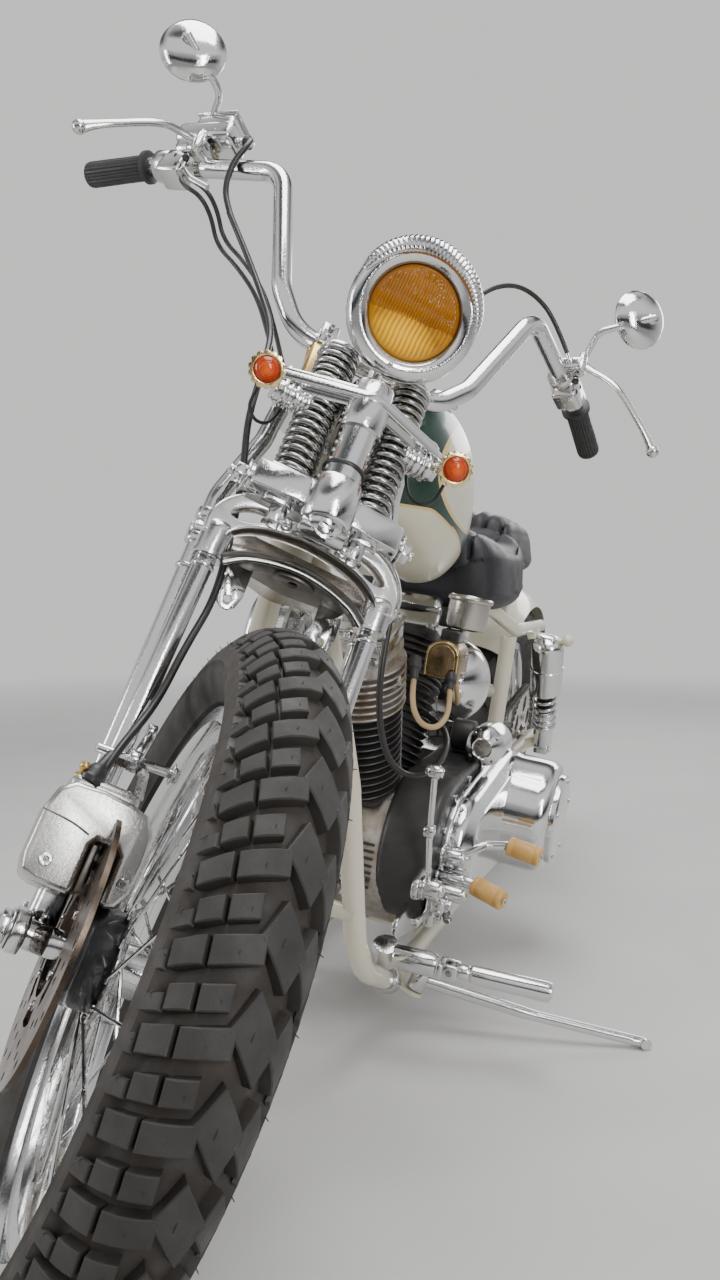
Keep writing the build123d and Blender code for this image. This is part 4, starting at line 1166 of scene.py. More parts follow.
def brake_disc(name, place, body, node_name, radius, at_x, bore, holes=12):
    """A drilled disc, brown with use."""
    outline = circle(0, 0, radius, 96)
    slots = []
    for index in range(holes):
        for depth, angle in ((12, 0), (26, 10), (39, 20)):
            way = 2 * pi * index / holes + radians(angle)
            slots.append(circle((radius - depth) * cos(way), (radius - depth) * sin(way), 4.2, 10))
    windows = []
    for index in range(6):
        way = 2 * pi * index / 6
        arc = [way + radians(a) for a in (-20, -10, 0, 10, 20)]
        out = [((radius - 53) * cos(a), (radius - 53) * sin(a)) for a in arc]
        back = [((bore + 12) * cos(a), (bore + 12) * sin(a)) for a in arc[::-1]]
        windows.append(out + back)
    plate = slab(outline, -2.5, 2.5, 0.5, [circle(0, 0, bore, 40), *slots, *windows], 1)
    piece = Piece(name, place, body, "disc", node_name)
    piece.add(DISC_STEEL, plate, at=shift(at_x) @ TO_X)
    piece.done()


FRONT_CASING = Casing(344.0, 108.0, 46.0, 29.0, 241.0, 33.0)
REAR_CASING = Casing(318.0, 132.0, 54.0, 16.0, 203.0, 44.0)
tyre("front_tyre_rubber", *ON_FRONT, FRONT_CASING, 37, 1.0, "front_tyre")
tyre("rear_tyre_rubber", *ON_REAR, REAR_CASING, 32, 1.1, "rear_tyre")
wheel("front_rim_and_spokes", *ON_FRONT, "front_wheel", 241.0, 33.0, 24.0, 55.0, 34.0, 62.0)
wheel("rear_rim_and_spokes", *ON_REAR, "rear_wheel", 203.0, 44.0, 32.0, 60.0, 40.0, 70.0)
brake_disc("front_brake_disc", *ON_FRONT, "front_disc", 125.0, -80.0, 46.0)
brake_disc("rear_brake_disc", *ON_REAR, "rear_disc", 127.0, -82.0, 26.0)


@made("front_disc_carrier", *ON_FRONT, "black_paint", "front_carrier")
def disc_carrier(piece):
    """The dished black carrier with its ring of bolts."""
    bell = [(18.2, -37), (45, -37), (46, -39), (46, -70), (58, -71), (60, -72), (60, -77), (18.2, -77.4)]
    piece.add(BLACK_PAINT, lathe(bell, 56, True), at=TO_X)
    bolts = ring_of(aimed(cap_screw(4.5, 5), (-80, 0, 53), (-1, 0, 0)), 6)
    piece.add(CHROME, bolts)


# Spring fork, in the fork frame

FACE_FRONT = turn(90, "X")
DAMPER_AXIS, SPRING_AXIS = shift(0, -127, 0), shift(47, -100, 0)
LEG_LOW, LEG_BEND = Vector((101, -10, 7)), Vector((107, -38, 500))
FRONT_LOW, FRONT_HIGH = Vector((101, -57, 7)), Vector((96, -92, 430))


def leg_point(z):
    return LEG_LOW.lerp(LEG_BEND, (z - LEG_LOW.z) / (LEG_BEND.z - LEG_LOW.z))


def front_point(z):
    return FRONT_LOW.lerp(FRONT_HIGH, (z - FRONT_LOW.z) / (FRONT_HIGH.z - FRONT_LOW.z))


def ring_round(low, high, radius, edge=1.5):
    """A band round a leg between two points."""
    return between(low, high, radius, edge, 32)


@made("rear_fork_legs", *ON_FORK, "chrome", "rigid_fork")
def rear_fork(piece):
    leg = tube([(80, -38, 648), (84, -38, 590), (107, -38, 500), LEG_LOW], [48, 70], 11, 12, 28)
    eye = joined(
        across(barrel(14, -11, 11, 2), 101, -10, 7), between(leg_point(14), leg_point(60), 13.5, 2)
    )
    bands = joined(
        ring_round(leg_point(466), leg_point(478), 14.5),
        ring_round(leg_point(436), leg_point(446), 15.5),
        ring_round(leg_point(404), leg_point(409), 13.5),
    )
    piece.pair(CHROME, leg, eye, bands)
    lug = slab(hull_outline([(0, 0, 28), (92, -38, 20), (-92, -38, 20)], 24), 438, 466, 3.0)
    piece.add(DULL_CHROME, lug)
    piece.pair(CHROME, across(barrel(14, 90, 116, 2), 0, -35, 452))
    piece.pair(CHROME, aimed(bolt_head(8, 6, 12), (116, -35, 452), (1, 0, 0)))
    piece.add(CHROME, barrel(12.4, 452, 652, 1))


def arch_outline():
    top = [(-112, 424), (-113, 446), (-106, 464), (-92, 480), (-72, 491), (-40, 497), (0, 499)]
    low = [(90, 424), (84, 436), (66, 449), (38, 458), (0, 462)]
    top = top + [(-x, z) for x, z in top[-2::-1]]
    low = low + [(-x, z) for x, z in low[-2::-1]]
    curves = [smooth_path([(x, z, 0) for x, z in line], 4) for line in (top, low)]
    return [(p.x, p.y) for curve in curves for p in curve]


def almond(x, z, length, height, slant):
    loop = []
    for index in range(20):
        angle = 2 * pi * index / 20
        u, v = length / 2 * cos(angle), height / 2 * sin(angle) * abs(sin(angle)) ** 0.25
        loop.append((x + u * cos(slant) - v * sin(slant), z + u * sin(slant) + v * cos(slant)))
    return loop


@made("front_fork_legs", *ON_FORK, "chrome", "spring_fork")
def front_fork(piece):
    leg = between(FRONT_LOW, FRONT_HIGH, 11, 1, 32)
    eye = joined(
        across(barrel(14, -11, 11, 2), 101, -57, 7), between(front_point(14), front_point(64), 13.5, 2)
    )
    way = (FRONT_HIGH - FRONT_LOW).normalized()
    cup = [
        (0, 42), (9, 42), (14, 40), (16.5, 36), (17, 30), (17, 5), (18.5, 4), (18.5, 0.5), (17.5, 0),
        (11, 0)
    ]
    collar = aimed(lathe(cup, 40), front_point(402), way)
    hoop = ring_round(front_point(390), front_point(394), 12.5, 1)
    piece.pair(CHROME, leg, eye, collar, hoop)
    slots = [almond(70, 464, 46, 17, -0.42), almond(-70, 464, 46, 17, 0.42)]
    face = slab(arch_outline(), 86, 104, 3.0, slots, 3)
    piece.add(POLISHED, face, at=FACE_FRONT)
    rim = [(x, -96.0, z) for x, z in arch_outline()[26:-1]]
    piece.add(POLISHED, sweep(rim, almond(0, 0, 26, 7, 0)))
    studs = [aimed(dome_nut(8, 10), (x, -104, 470), (0, -1, 0)) for x in (-34, 34)]
    piece.add(CHROME, *studs)

    plan = [(20, -84), (84, -82), (88, -86), (88, -119), (84, -123), (56, -126), (36, -130), (20, -128)]
    wing = slab(plan, 490, 521, 2.0, (), 3)
    step = joined(
        slab([(26, -88), (74, -88), (74, -120), (26, -124)], 520, 525, 1.2),
        slab(hull_outline([(58, -106, 11), (46, -106, 11)], 20), 484, 492, 1.5)
    )
    ends = joined(
        across(barrel(16, 76, 92, 2, 40), 0, -100, 504),
        across(barrel(19, 92, 95, 1, 40), 0, -100, 504),
        across(slab(hexagon(13), 95, 106, 1.5), 0, -100, 504),
        across(barrel(6, 106, 112, 2), 0, -100, 504),
    )
    piece.pair(CLEAN_CHROME, wing, step, ends)
    boss = [(22.2, 476), (26.4, 476), (28.4, 479), (28.4, 525), (27, 528), (22.2, 528)]
    piece.add(CLEAN_CHROME, lathe(boss, 48, True), at=DAMPER_AXIS)
    back = slab(hull_outline([(30, -96, 12), (-30, -96, 12)], 16), 492, 520, 3.0)
    piece.add(CHROME, back)
    piece.pair(CHROME, moved(barrel(11, 466, 490, 2), SPRING_AXIS))
    piece.pair(CHROME, moved(bolt_head(9, 8, 13), shift(47, -100, 466) @ turn(180, "X")))


@made("top_fork_clamp", *ON_FORK, "chrome", "top_bracket")
def top_clamp(piece):
    circles = [(92, -100, 15), (-92, -100, 15), (0, -127, 26), (70, -38, 17), (-70, -38, 17), (0, 0, 30)]
    piece.add(CLEAN_CHROME, slab(hull_outline(circles, 28), 628, 640, 2.0, (), 3))
    ledge = [(90, -100, 12), (-90, -100, 12), (0, -125, 23), (68, -42, 14), (-68, -42, 14)]
    piece.add(CLEAN_CHROME, slab(hull_outline(ledge, 28), 640, 647, 1.5, (), 3))
    piece.add(CHROME, slab(hull_outline([(x, y, r - 4) for x, y, r in ledge[:3]], 28), 620, 629, 1.5))
    sleeve = [(22.1, 596), (25, 596), (25.8, 598), (25.8, 655), (24.6, 658), (21, 659.4), (0, 659.4)]
    piece.add(CLEAN_CHROME, lathe(sleeve, 48), at=DAMPER_AXIS)
    across = shift(0, -104, 616) @ TO_X
    rings = [
        (13.5, 56, 100, 1.5), (17, 60, 65, 1.2), (16, 68, 71, 1), (17.4, 74, 80, 1.2), (16, 83, 86, 1),
        (17, 89, 94, 1.2)
    ]
    foot = joined(*[moved(barrel(r, low, high, edge, 40), across) for r, low, high, edge in rings])
    foot = joined(foot, moved(slab(hexagon(13.5), 97, 105, 1.2), across))
    piece.pair(CHROME, foot)
    piece.pair(CHROME, put(dome_nut(8, 9), 92, -100, 646))
    nut = [(0, 676), (10, 676), (17, 672), (20, 664), (20, 648), (18, 646), (12, 646)]
    piece.add(CHROME, lathe(nut, 40))


@made("fork_coil_springs", *ON_FORK, "steel", "fork_springs", sharp=50)
def springs(piece):
    low = coil((47, -100, 522), (47, -100, 628), 24.5, 3.7, 9.5, 28, 12)
    high = coil((47, -100, 646), (47, -100, 700), 24.5, 3.7, 5.2, 28, 12)
    piece.pair(SPRING_STEEL, low, high)
    core = joined(barrel(6, 500, 702, 1), barrel(15, 522, 540, 2))
    piece.pair(DARK_STEEL, moved(core, SPRING_AXIS))
    cap = [(0, 708), (8, 708), (20, 706), (24.5, 702), (24.5, 699), (22, 697), (0, 697)]
    piece.pair(CHROME, moved(lathe(cap, 36), SPRING_AXIS))


@made("fork_damper_tube", *ON_FORK, "chrome", "fork_damper")
def damper(piece):
    body = [
        (0, 462), (13, 462), (18, 465), (21.2, 470), (22, 475), (22, 602), (18, 602.6), (18, 656), (0, 656)
    ]
    piece.add(CLEAN_CHROME, lathe(body, 64), at=DAMPER_AXIS)
    band = [(22, 543.6), (23.8, 544), (24.4, 545.5), (23.8, 548), (22, 548.4)]
    piece.add(HOSE, lathe(band, 64, True), at=DAMPER_AXIS)
    eye = joined(
        put(soft_box((30, 26, 24), 6), 0, -127, 472),
        across(barrel(11, -26, 26, 3), 0, -127, 468),
        aimed(bolt_head(10, 8, 13), (0, -139, 470), (0, -1, -0.1)),
    )
    piece.add(CHROME, eye)


@made("fork_rockers", *ON_FORK, "polished", "rockers")
def rockers(piece):
    outline = hull_outline([(-10, 7, 16), (-57, 7, 16), (-85, 0, 20)], 28)
    side = moved(slab(outline, 113, 126, 2.5, (), 3), TO_SIDE)
    pins = []
    for y in (-10, -57):
        pins.append(across(barrel(7, 90, 113, 0.5), 0, y, 7))
        pins.append(across(barrel(12.5, 126, 129, 0.8), 0, y, 7))
        pins.append(aimed(dome_nut(10, 11), (128.5, y, 7), (1, 0, 0)))
    grease = lathe([(0, 0), (3, 0), (3, 4), (1.8, 5), (2.4, 7), (0, 8)], 12)
    piece.pair(POLISHED, side, aimed(grease, (119, -30, 22), (0, 0.2, 1)))
    piece.pair(CHROME, *pins)


@made("front_axle_and_nuts", *ON_FORK, "steel", "front_axle")
def front_axle(piece):
    at = shift(0, -AXLE_LEAD, 0) @ TO_X
    piece.add(BRUSHED, moved(barrel(9.9, -137, 137, 1.5), at))
    spacer = [(10, 66), (13.5, 67), (13.5, 90), (12.6, 92), (13.5, 94), (13.5, 112), (10, 112.6)]
    ends = joined(
        moved(lathe(spacer, 36, True), at),
        moved(barrel(19, 126, 129, 1), at),
        moved(slab(hexagon(16), 129, 138, 1.5), at),
        moved(lathe([(10, 138), (10, 139), (7, 142), (0, 142)], 20), at),
    )
    piece.pair(CHROME, ends)


@made("fender_bracket_plate", *ON_FORK, "steel", "fender_bracket")
def fender_bracket(piece):
    outline = hull_outline([(0, -70, 34), (56, -62, 14), (-56, -62, 14)], 28)
    piece.add(DARK_STEEL, slab(outline, 424, 428, 1.2, [circle(0, -84, 5)]))
    piece.add(DARK_STEEL, barrel(16, 428, 440, 1), at=shift(0, -60, 0))
    boss = slab(ellipse(24, 15, 28), 419, 425, 2.0, [circle(0, 0, 5)])
    piece.add(DARK_STEEL, boss, at=shift(0, -84, 0))

    def bow(*points):
        """A smooth line over the middle, from its right half."""
        return smooth_path([*points, *[(-x, y, z) for x, y, z in points[-2::-1]]], 5)

    bridge = bow((-88, -88, 404), (-66, -90, 420), (-34, -92, 430), (0, -93, 433))
    strap = [(-2.5, -11), (-2.5, 11), (0, 13), (2.5, 11), (2.5, -11), (0, -13)]
    piece.add(DARK_STEEL, sweep(bridge, strap, up=(0, 1, 0)))
    lip = bow((-80, -102, 400), (-60, -104, 413), (-30, -105, 422), (0, -106, 425))
    piece.add(SPRING_STEEL, sweep(lip, 2.6))
    tab_line = [(-15, 0), (15, 0), (15, -34), (11, -48), (4, -54), (-4, -54), (-11, -48), (-15, -34)]
    tab = slab(tab_line, -2, 2, 1.0, [circle(0, -42, 4.2)])
    piece.pair(CHROME, moved(tab, shift(56, -56, 426) @ FACE_FRONT))


@made("front_brake_caliper", *ON_FORK, "polished", "brake_caliper", sharp=45)
def brake_caliper(piece):
    """A rounded two-half caliper over the disc, with its pin, clamp, bleed screw and hose boot."""
    outline = [
        (-145, 60), (-141, 44), (-128, 40), (-99, 39), (-95, 42), (-95, 84), (-91, 90), (-73, 90),
        (-68, 84), (-68, 42), (-64, 38), (-54, 42), (-47, 56), (-45, 84), (-47, 112), (-56, 126),
        (-72, 131), (-100, 134), (-128, 132), (-140, 122), (-145, 104)
    ]
    piece.add(SATIN, slab(outline, 79, 137, 8.0, (), 4), at=FACE_FRONT)
    piece.add(SATIN, soft_box((66, 40, 30), 9, 4), at=shift(-100, -112, 128))
    seam = [(-145.4, -136, 100), (-118, -138, 97), (-100, -138, 92)]
    piece.add(DARK_STEEL, sweep(smooth_path(seam, 4), 0.9))
    for x, z in ((-126, 60), (-56, 62)):
        piece.add(CHROME, aimed(cap_screw(6, 3), (x, -137, z), (0, -1, 0)))
    pads = joined(
        put(soft_box((7, 44, 44), 2), -90, -108, 66), put(soft_box((7, 44, 44), 2), -72, -108, 66)
    )
    piece.add(DARK_STEEL, pads)
    bleed = [(0, 0), (7, 0), (7, 5), (4, 6), (4, 9), (5, 10), (5, 14), (3, 16), (0, 16)]
    piece.add(BRASS, aimed(lathe(bleed, 14), (-124, -122, 138), (-0.2, -0.5, 1)))
    piece.add(BRASS, aimed(slab(hexagon(8), 0, 6, 0.8), (-124, -122, 136), (-0.2, -0.5, 1)))
    boot = [(0, 0), (9, 0), (11, 4), (9.5, 8), (11, 12), (9, 18), (6, 24), (5, 40), (0, 40)]
    piece.add(HOSE, aimed(lathe(boot, 20), (-118, -128, 134), (0.3, 0.35, 1)))
    clamp = between((-101, -62, 66), (-101, -65, 108), 18, 3, 40)
    ears = put(soft_box((30, 24, 30), 4), -106, -78, 88)
    bolts = [aimed(bolt_head(6.5, 7, 9), (-121, -78, z), (-1, 0, 0)) for z in (80, 97)]
    piece.add(CHROME, clamp, ears, *bolts)
    strap = rounded([(-110, -112, 140), (-110, -104, 170), (-72, -100, 172), (-68, -106, 140)], [10, 10])
    piece.add(CHROME, sweep(strap, [(-2, -7), (2, -7), (2, 7), (-2, 7)], up=(0, 1, 0)))
    eye = joined(
        between((-122, -92, 176), (-46, -88, 180), 5, 1),
        aimed(bolt_head(8, 8, 11), (-46, -88, 180), (1, 0, 0)),
        between((-84, -92, 176), (-76, -62, 214), 5, 1),
        aimed(barrel(11, -6, 6, 2), (-84, -92, 177), (1, 0, 0.1)),
        aimed(barrel(9, -5, 5, 2), (-76, -60, 217), (1, 0, 0.1)),
    )
    piece.add(CHROME, eye)


# Handlebar, controls and lamps, in the fork frame

BAR_R = 12.7
BAR_LINE = [
    Vector(p) for p in ((98, -25, 757), (135, -25, 805), (192, -25, 968), (350, 120, 1000), (430, 195, 995))
]
GRIP_WAY = (BAR_LINE[4] - BAR_LINE[3]).normalized()
CONTROL_WAY = (BAR_LINE[3] - BAR_LINE[2]).normalized()


def along_bar(distance):
    return BAR_LINE[4] - GRIP_WAY * distance


def at_control(distance):
    return BAR_LINE[3] - CONTROL_WAY * distance


def lobed(radius, count, depth, steps=4):
    """A round outline with shallow grooves."""
    outline = []
    for index in range(count * steps):
        out, angle = radius - depth * (index % steps == 0), 2 * pi * index / (count * steps)
        outline.append((out * cos(angle), out * sin(angle)))
    return outline


@made("tall_handlebar", *ON_FORK, "chrome", "handlebar", sharp=60)
def handlebar(piece):
    line = [Vector((-p.x, p.y, p.z)) for p in BAR_LINE[::-1]] + BAR_LINE
    piece.add(CLEAN_CHROME, tube(line, [60, 45, 60, 50, 50, 60, 45, 60], BAR_R, 12, 32))


@made("bar_risers", *ON_FORK, "chrome", "risers")
def risers(piece):
    post = [(0, 647), (16, 647), (16.5, 650), (13, 656), (12.5, 720), (15, 742), (15, 752), (0, 752)]
    piece.pair(BRASS, put(lathe(post, 36), 62, -25, 0))
    block = put(soft_box((26, 22, 62), 5, 3), 62, -38, 712)
    piece.pair(BRASS, block)
    # Dark steel discs on the blocks' front: painted shade standing in for the holes.
    holes = joined(*[aimed(barrel(5.4, 0, 3, 0.6, 20), (62, -48, z), (0, -1, 0)) for z in (694, 730)])
    piece.pair(DARK_STEEL, holes)
    clamp = joined(
        across(barrel(20.5, -12, 12, 3, 36), 62, -25, 757),
        put(soft_box((22, 14, 30), 3), 62, -47, 757),
        aimed(cap_screw(4.5, 5), (62, -54, 765), (0, -1, 0)),
        aimed(cap_screw(4.5, 5), (62, -54, 749), (0, -1, 0)),
    )
    piece.pair(CHROME, clamp)


@made("rubber_grips", *ON_FORK, "rubber", "grips", sharp=35)
def grips(piece):
    run = [along_bar(d) for d in (-4, -2, 2, 30, 60, 92, 96)]
    body = sweep(run, lobed(17.6, 22, 1.0), [0.82, 0.95, 1.0, 0.99, 0.97, 0.97, 0.92])
    flange = sweep([along_bar(d) for d in (93, 95, 100, 102)], ring_outline(22, 36), [0.9, 1.0, 1.0, 0.85])
    piece.pair(RUBBER, body, flange)


def control_box(place, size, edge):
    return moved(soft_box(size, edge, 4), place)


@made("hand_control_housings", *ON_FORK, "polished", "hand_controls", sharp=40)
def hand_controls(piece):
    """Polished switch housings and lever perches; the right one carries the two-step fluid box."""
    rounds = joined(
        sweep([at_control(d) for d in (8, 10, 28, 30)], ring_outline(21, 36), [0.93, 1, 1, 0.95]),
        sweep([at_control(d) for d in (31, 33, 54, 57)], ring_outline(22, 36), [0.93, 1, 1, 0.9]),
        sweep([at_control(d) for d in (60, 62, 80, 82)], ring_outline(20, 36), [0.93, 1, 1, 0.93]),
    )
    box_place = aim(at_control(42) + Vector((0, -8, -16)), CONTROL_WAY, (0, 0, 1))
    housing = joined(rounds, control_box(box_place, (34, 38, 40), 6))
    piece.pair(POLISHED, housing)
    perch = at_control(71) + Vector((0, -22, 6))
    perch_place = aim(perch, CONTROL_WAY, (0, 0, 1))
    block = joined(
        control_box(perch_place, (24, 40, 26), 6),
        aimed(barrel(7, -14, 16, 2), perch + Vector((8, -16, 0)), (0, 0.1, 1)),
        aimed(dome_nut(6, 7), perch + Vector((8, -16, 15)), (0, 0.1, 1)),
    )
    piece.pair(CHROME, block)
    buttons = [
        aim(at_control(d) + Vector((0, -26, z)), (0, -1, -0.2)) for d, z in ((34, -8), (48, -8), (42, -24))
    ]
    caps = joined(*[moved(barrel(5, 0, 6, 1.5, 16), place) for place in buttons])
    piece.pair(RUBBER, caps)

    way = Vector((-CONTROL_WAY.x, CONTROL_WAY.y, CONTROL_WAY.z))
    middle = at_control(76) + Vector((0, -10, 44))
    centre = Vector((-middle.x, middle.y, middle.z))
    z_way = Vector((0, -0.1, 1)).normalized()
    x_way = (way - z_way * way.dot(z_way)).normalized()
    y_way = z_way.cross(x_way)
    fluid = Matrix((x_way, y_way, z_way)).transposed().to_4x4()
    fluid.translation = centre
    box = joined(
        moved(soft_box((90, 48, 30), 8, 5), fluid @ shift(0, 0, -3)),
        moved(soft_box((62, 44, 22), 6, 4, (0.96, 0.96)), fluid @ shift(-10, 0, 14)),
        moved(soft_box((66, 48, 3.2), 1.5, 3), fluid @ shift(-10, 0, 25.5)),
        moved(soft_box((40, 34, 26), 8, 4), fluid @ shift(20, 4, -22)),
        moved(barrel(12, -16, 0, 3), fluid @ shift(44, -2, -8) @ TO_X),
    )
    piece.add(CLEAN_CHROME, box)
    for x, y in ((-38, -18), (18, -18), (-38, 18), (18, 18)):
        piece.add(CHROME, cap_screw(3.4, 2.2), at=fluid @ shift(x, y, 26.6))
    glass = lathe([(0, 0), (8, 0), (8.4, 1.5), (7, 3), (0, 3)], 24)
    piece.add(DARK_STEEL, glass, at=fluid @ shift(8, -24, -2) @ FACE_FRONT)
    banjo_at = fluid @ shift(-45, -4, -2) @ turn(-90, "Y")
    piece.add(CHROME, slab(hexagon(7), 0, 7, 0.8), barrel(6, 7, 20, 1), at=banjo_at)
    piece.add(HOSE, barrel(9, 9, 16, 1.2), at=banjo_at)
    piece.add(BRASS, slab(hexagon(6.5), 0, 12, 0.8), at=fluid @ shift(2, -20, -18) @ turn(180, "X"))
    elbow = rounded([(-300, 52, 968), (-304, 30, 940), (-292, 14, 918), (-268, 2, 908)], [14, 12])
    piece.add(CHROME, sweep(elbow, 4.2))


@made("hand_lever_blades", *ON_FORK, "polished", "hand_levers", sharp=60)
def hand_levers(piece):
    perch = at_control(71) + Vector((8, -34, 12))
    bend = perch + Vector((14, -6, -8))
    line = smooth_path([perch, bend, (352, 2, 962), (395, -6, 920), (418, -5, 900), (432, -2, 888)], 6)
    count = len(line)
    widths = []
    for i in range(count):
        widths.append(1.0 - 0.45 * sin(pi * min(1.0, i / (count - 1) * 1.05)) * (0.4 + i / count))
    blade = sweep(line, ellipse(8.2, 4.6, 20), widths, up=(0, 1, 0))
    piece.pair(POLISHED, blade, put(ball(9, 15, 24), 432, -2, 888))


@made("round_mirrors", *ON_FORK, "chrome", "mirrors")
def mirrors(piece):
    """Round bowls on bent stems, their glass towards the rider."""
    place = aim((361, 5, 1095), (-0.15, 0.98, 0.2))
    bowl = [
        (40.6, -1.5), (41.5, 0), (43.4, -0.4), (44, -2.5), (43.6, -5), (42.2, -6.5), (41.6, -8.5),
        (38, -14), (30, -19.5), (18, -23), (6, -24.5), (0, -24.6)
    ]
    piece.pair(CLEAN_CHROME, moved(lathe(bowl + [(0, -4), (40.6, -4)], 64), place))
    knob = lathe([(0, 0), (8, 0), (8, 3), (6, 5), (6, 10), (0, 11)], 20)
    piece.pair(CHROME, moved(knob, place @ shift(0, 8, -22) @ turn(180, "X")))
    glass = moved(lathe([(0, -1.0), (40.4, -2.4), (40.4, -3.6), (0, -3.6)], 64), place)
    piece.pair(MIRROR_GLASS, glass)
    top = place @ Vector((0, 8, -31))
    foot = at_control(40) + Vector((4, 0, 18))
    left = tube([foot, (312, 20, 1052), top], [22], 5, 10, 16)
    piece.add(CHROME, left)
    foot = at_control(60) + Vector((0, -12, 60))
    piece.add(CHROME, mirrored(tube([foot, (308, 12, 1066), top], [22], 5, 10, 16)))
    nuts = joined(
        aimed(slab(hexagon(8.5), 0, 8, 1), at_control(40) + Vector((4, 0, 20)), (0.1, 0.2, 1)),
        mirrored(aimed(slab(hexagon(8.5), 0, 8, 1), at_control(60) + Vector((0, -12, 56)), (0.1, 0.2, 1))),
    )
    piece.add(CHROME, nuts)


LAMP = shift(0, -183, 735) @ turn(31.5, "X")


@made("headlamp_shell_and_rim", *ON_FORK, "chrome", "headlight_shell", sharp=50)
def headlamp(piece):
    """A bullet shell, a broad convex rim and a ribbed peak over the top."""
    back = [
        (0, -88), (14, -86), (31, -76), (47, -58), (60, -36), (69, -16), (73.5, -4), (74, 0), (70, 1),
        (0, 1)
    ]
    piece.add(CLEAN_CHROME, lathe(back, 96), at=LAMP @ FACE_FRONT)
    band = [(73.4, -8), (75.4, -7), (76, -4), (75.4, -1.5), (73.4, -1)]
    piece.add(CLEAN_CHROME, lathe(band, 96, True), at=LAMP @ FACE_FRONT)
    rim = [
        (52.4, -2), (52.6, 3), (54, 5.5), (56.5, 7.6), (61, 9.6), (66, 9.4), (71, 6.6), (74.4, 2),
        (75.2, -2), (70, -3)
    ]
    piece.add(CLEAN_CHROME, lathe(rim, 112, True), at=LAMP @ FACE_FRONT)
    lip = [(51.2, 1), (52.6, 4.6), (54.4, 5.2), (54.6, 4), (53, 0.5)]
    piece.add(DARK_STEEL, lathe(lip, 96, True), at=LAMP @ FACE_FRONT)
    sections = []
    steps = 156
    for index in range(steps + 1):
        angle = radians(-78 + 158 * index / steps)
        swell = max(0.0, sin(pi * index / steps)) ** 0.6
        ridge = 1.5 * swell * (0.5 + 0.5 * cos(index * pi / 2))
        loop = []
        for r, h in (
            (60.5, 12), (62, 15), (66, 16), (72, 14.6), (78, 9.6), (82, 1), (83, -9), (81.4, -24),
            (78, -37), (75.8, -38), (78, -24), (79, -8), (72, 8.6), (62, 11)
        ):
            outer = h in (15, 16, 14.6, 9.6, 1, -9, -24)
            out = 73.0 + (r - 73.0) * (0.25 + 0.75 * swell) + ridge * outer * (0.5 if r < 75 else 0.9)
            front = h * (0.55 + 0.45 * swell) + ridge * outer * (0.9 if r < 79 else 0.2)
            loop.append((out * sin(angle), -front, out * cos(angle)))
        sections.append(loop)
    piece.add(CHROME, skin(sections), at=LAMP)
    piece.add(CHROME, barrel(8, 640, 706, 1.5), slab(hexagon(13), 646, 656, 1), at=shift(0, -100, 0))
    piece.add(CHROME, cap_screw(3.2, 2.4), at=LAMP @ aim((0, -9.8, -62), (0, -1, 0)))


@made("headlamp_lens_fluted", *ON_FORK, "lens", "headlight_lens", sharp=40)
def headlamp_lens(piece):
    """A domed lens with pressed flutes: fine upright ones above, broad tilted ones below, with a painted
    glow low on the lens.
    """
    rings, spokes_round = 44, 200
    points, faces, shades = [Vector((0, -9.0, 0))], [], [0.2]
    for ring in range(1, rings + 1):
        r = 51.8 * ring / rings
        for index in range(spokes_round):
            angle = 2 * pi * index / spokes_round
            x, z = r * sin(angle), r * cos(angle)
            dome = 8.4 * (1 - (r / 51.8) ** 2) ** 0.5
            low = z < -8 + 0.12 * x
            wave = sin(x * (1.15 if low else 1.9) + (0.5 if low else 0.0) * sin(z * 0.2))
            block = 0.5 + 0.5 * sin(z * 0.42)
            fade = unit((49.0 - r) / 4.0)
            relief_out = (0.75 * wave + (0.25 * block if not low else 0.0)) * fade
            points.append(Vector((x, -(0.9 + dome + relief_out), z)))
            # Painted glow: a bright patch low on the lens, brighter along the flutes, carried in the shade
            # attribute.
            painted_glow = max(0.0, 1.0 - sqrt((x + 2) ** 2 * 0.45 + (z + 27) ** 2 * 1.5) / 27.0) ** 0.7
            lit = painted_glow * (0.78 + 0.38 * wave) + (0.16 if low else 0.0)
            shades.append(unit(lit + (0.10 * wave + 0.05 * block) * fade))
    for index in range(spokes_round):
        faces.append([0, 1 + index, 1 + (index + 1) % spokes_round])
    for ring in range(rings - 1):
        a, b = 1 + ring * spokes_round, 1 + (ring + 1) * spokes_round
        for index in range(spokes_round):
            j = (index + 1) % spokes_round
            faces.append([a + index, b + index, b + j, a + j])
    start = len(points)
    last = 1 + (rings - 1) * spokes_round
    for index in range(spokes_round):
        points.append(Vector((points[last + index].x, 0.5, points[last + index].z)))
        shades.append(0.0)
    for index in range(spokes_round):
        j = (index + 1) % spokes_round
        faces.append([last + index, start + index, start + j, last + j])
    faces.append([start + index for index in range(spokes_round)][::-1])
    piece.add(AMBER_LENS, (points, faces), at=LAMP, shade=shades)


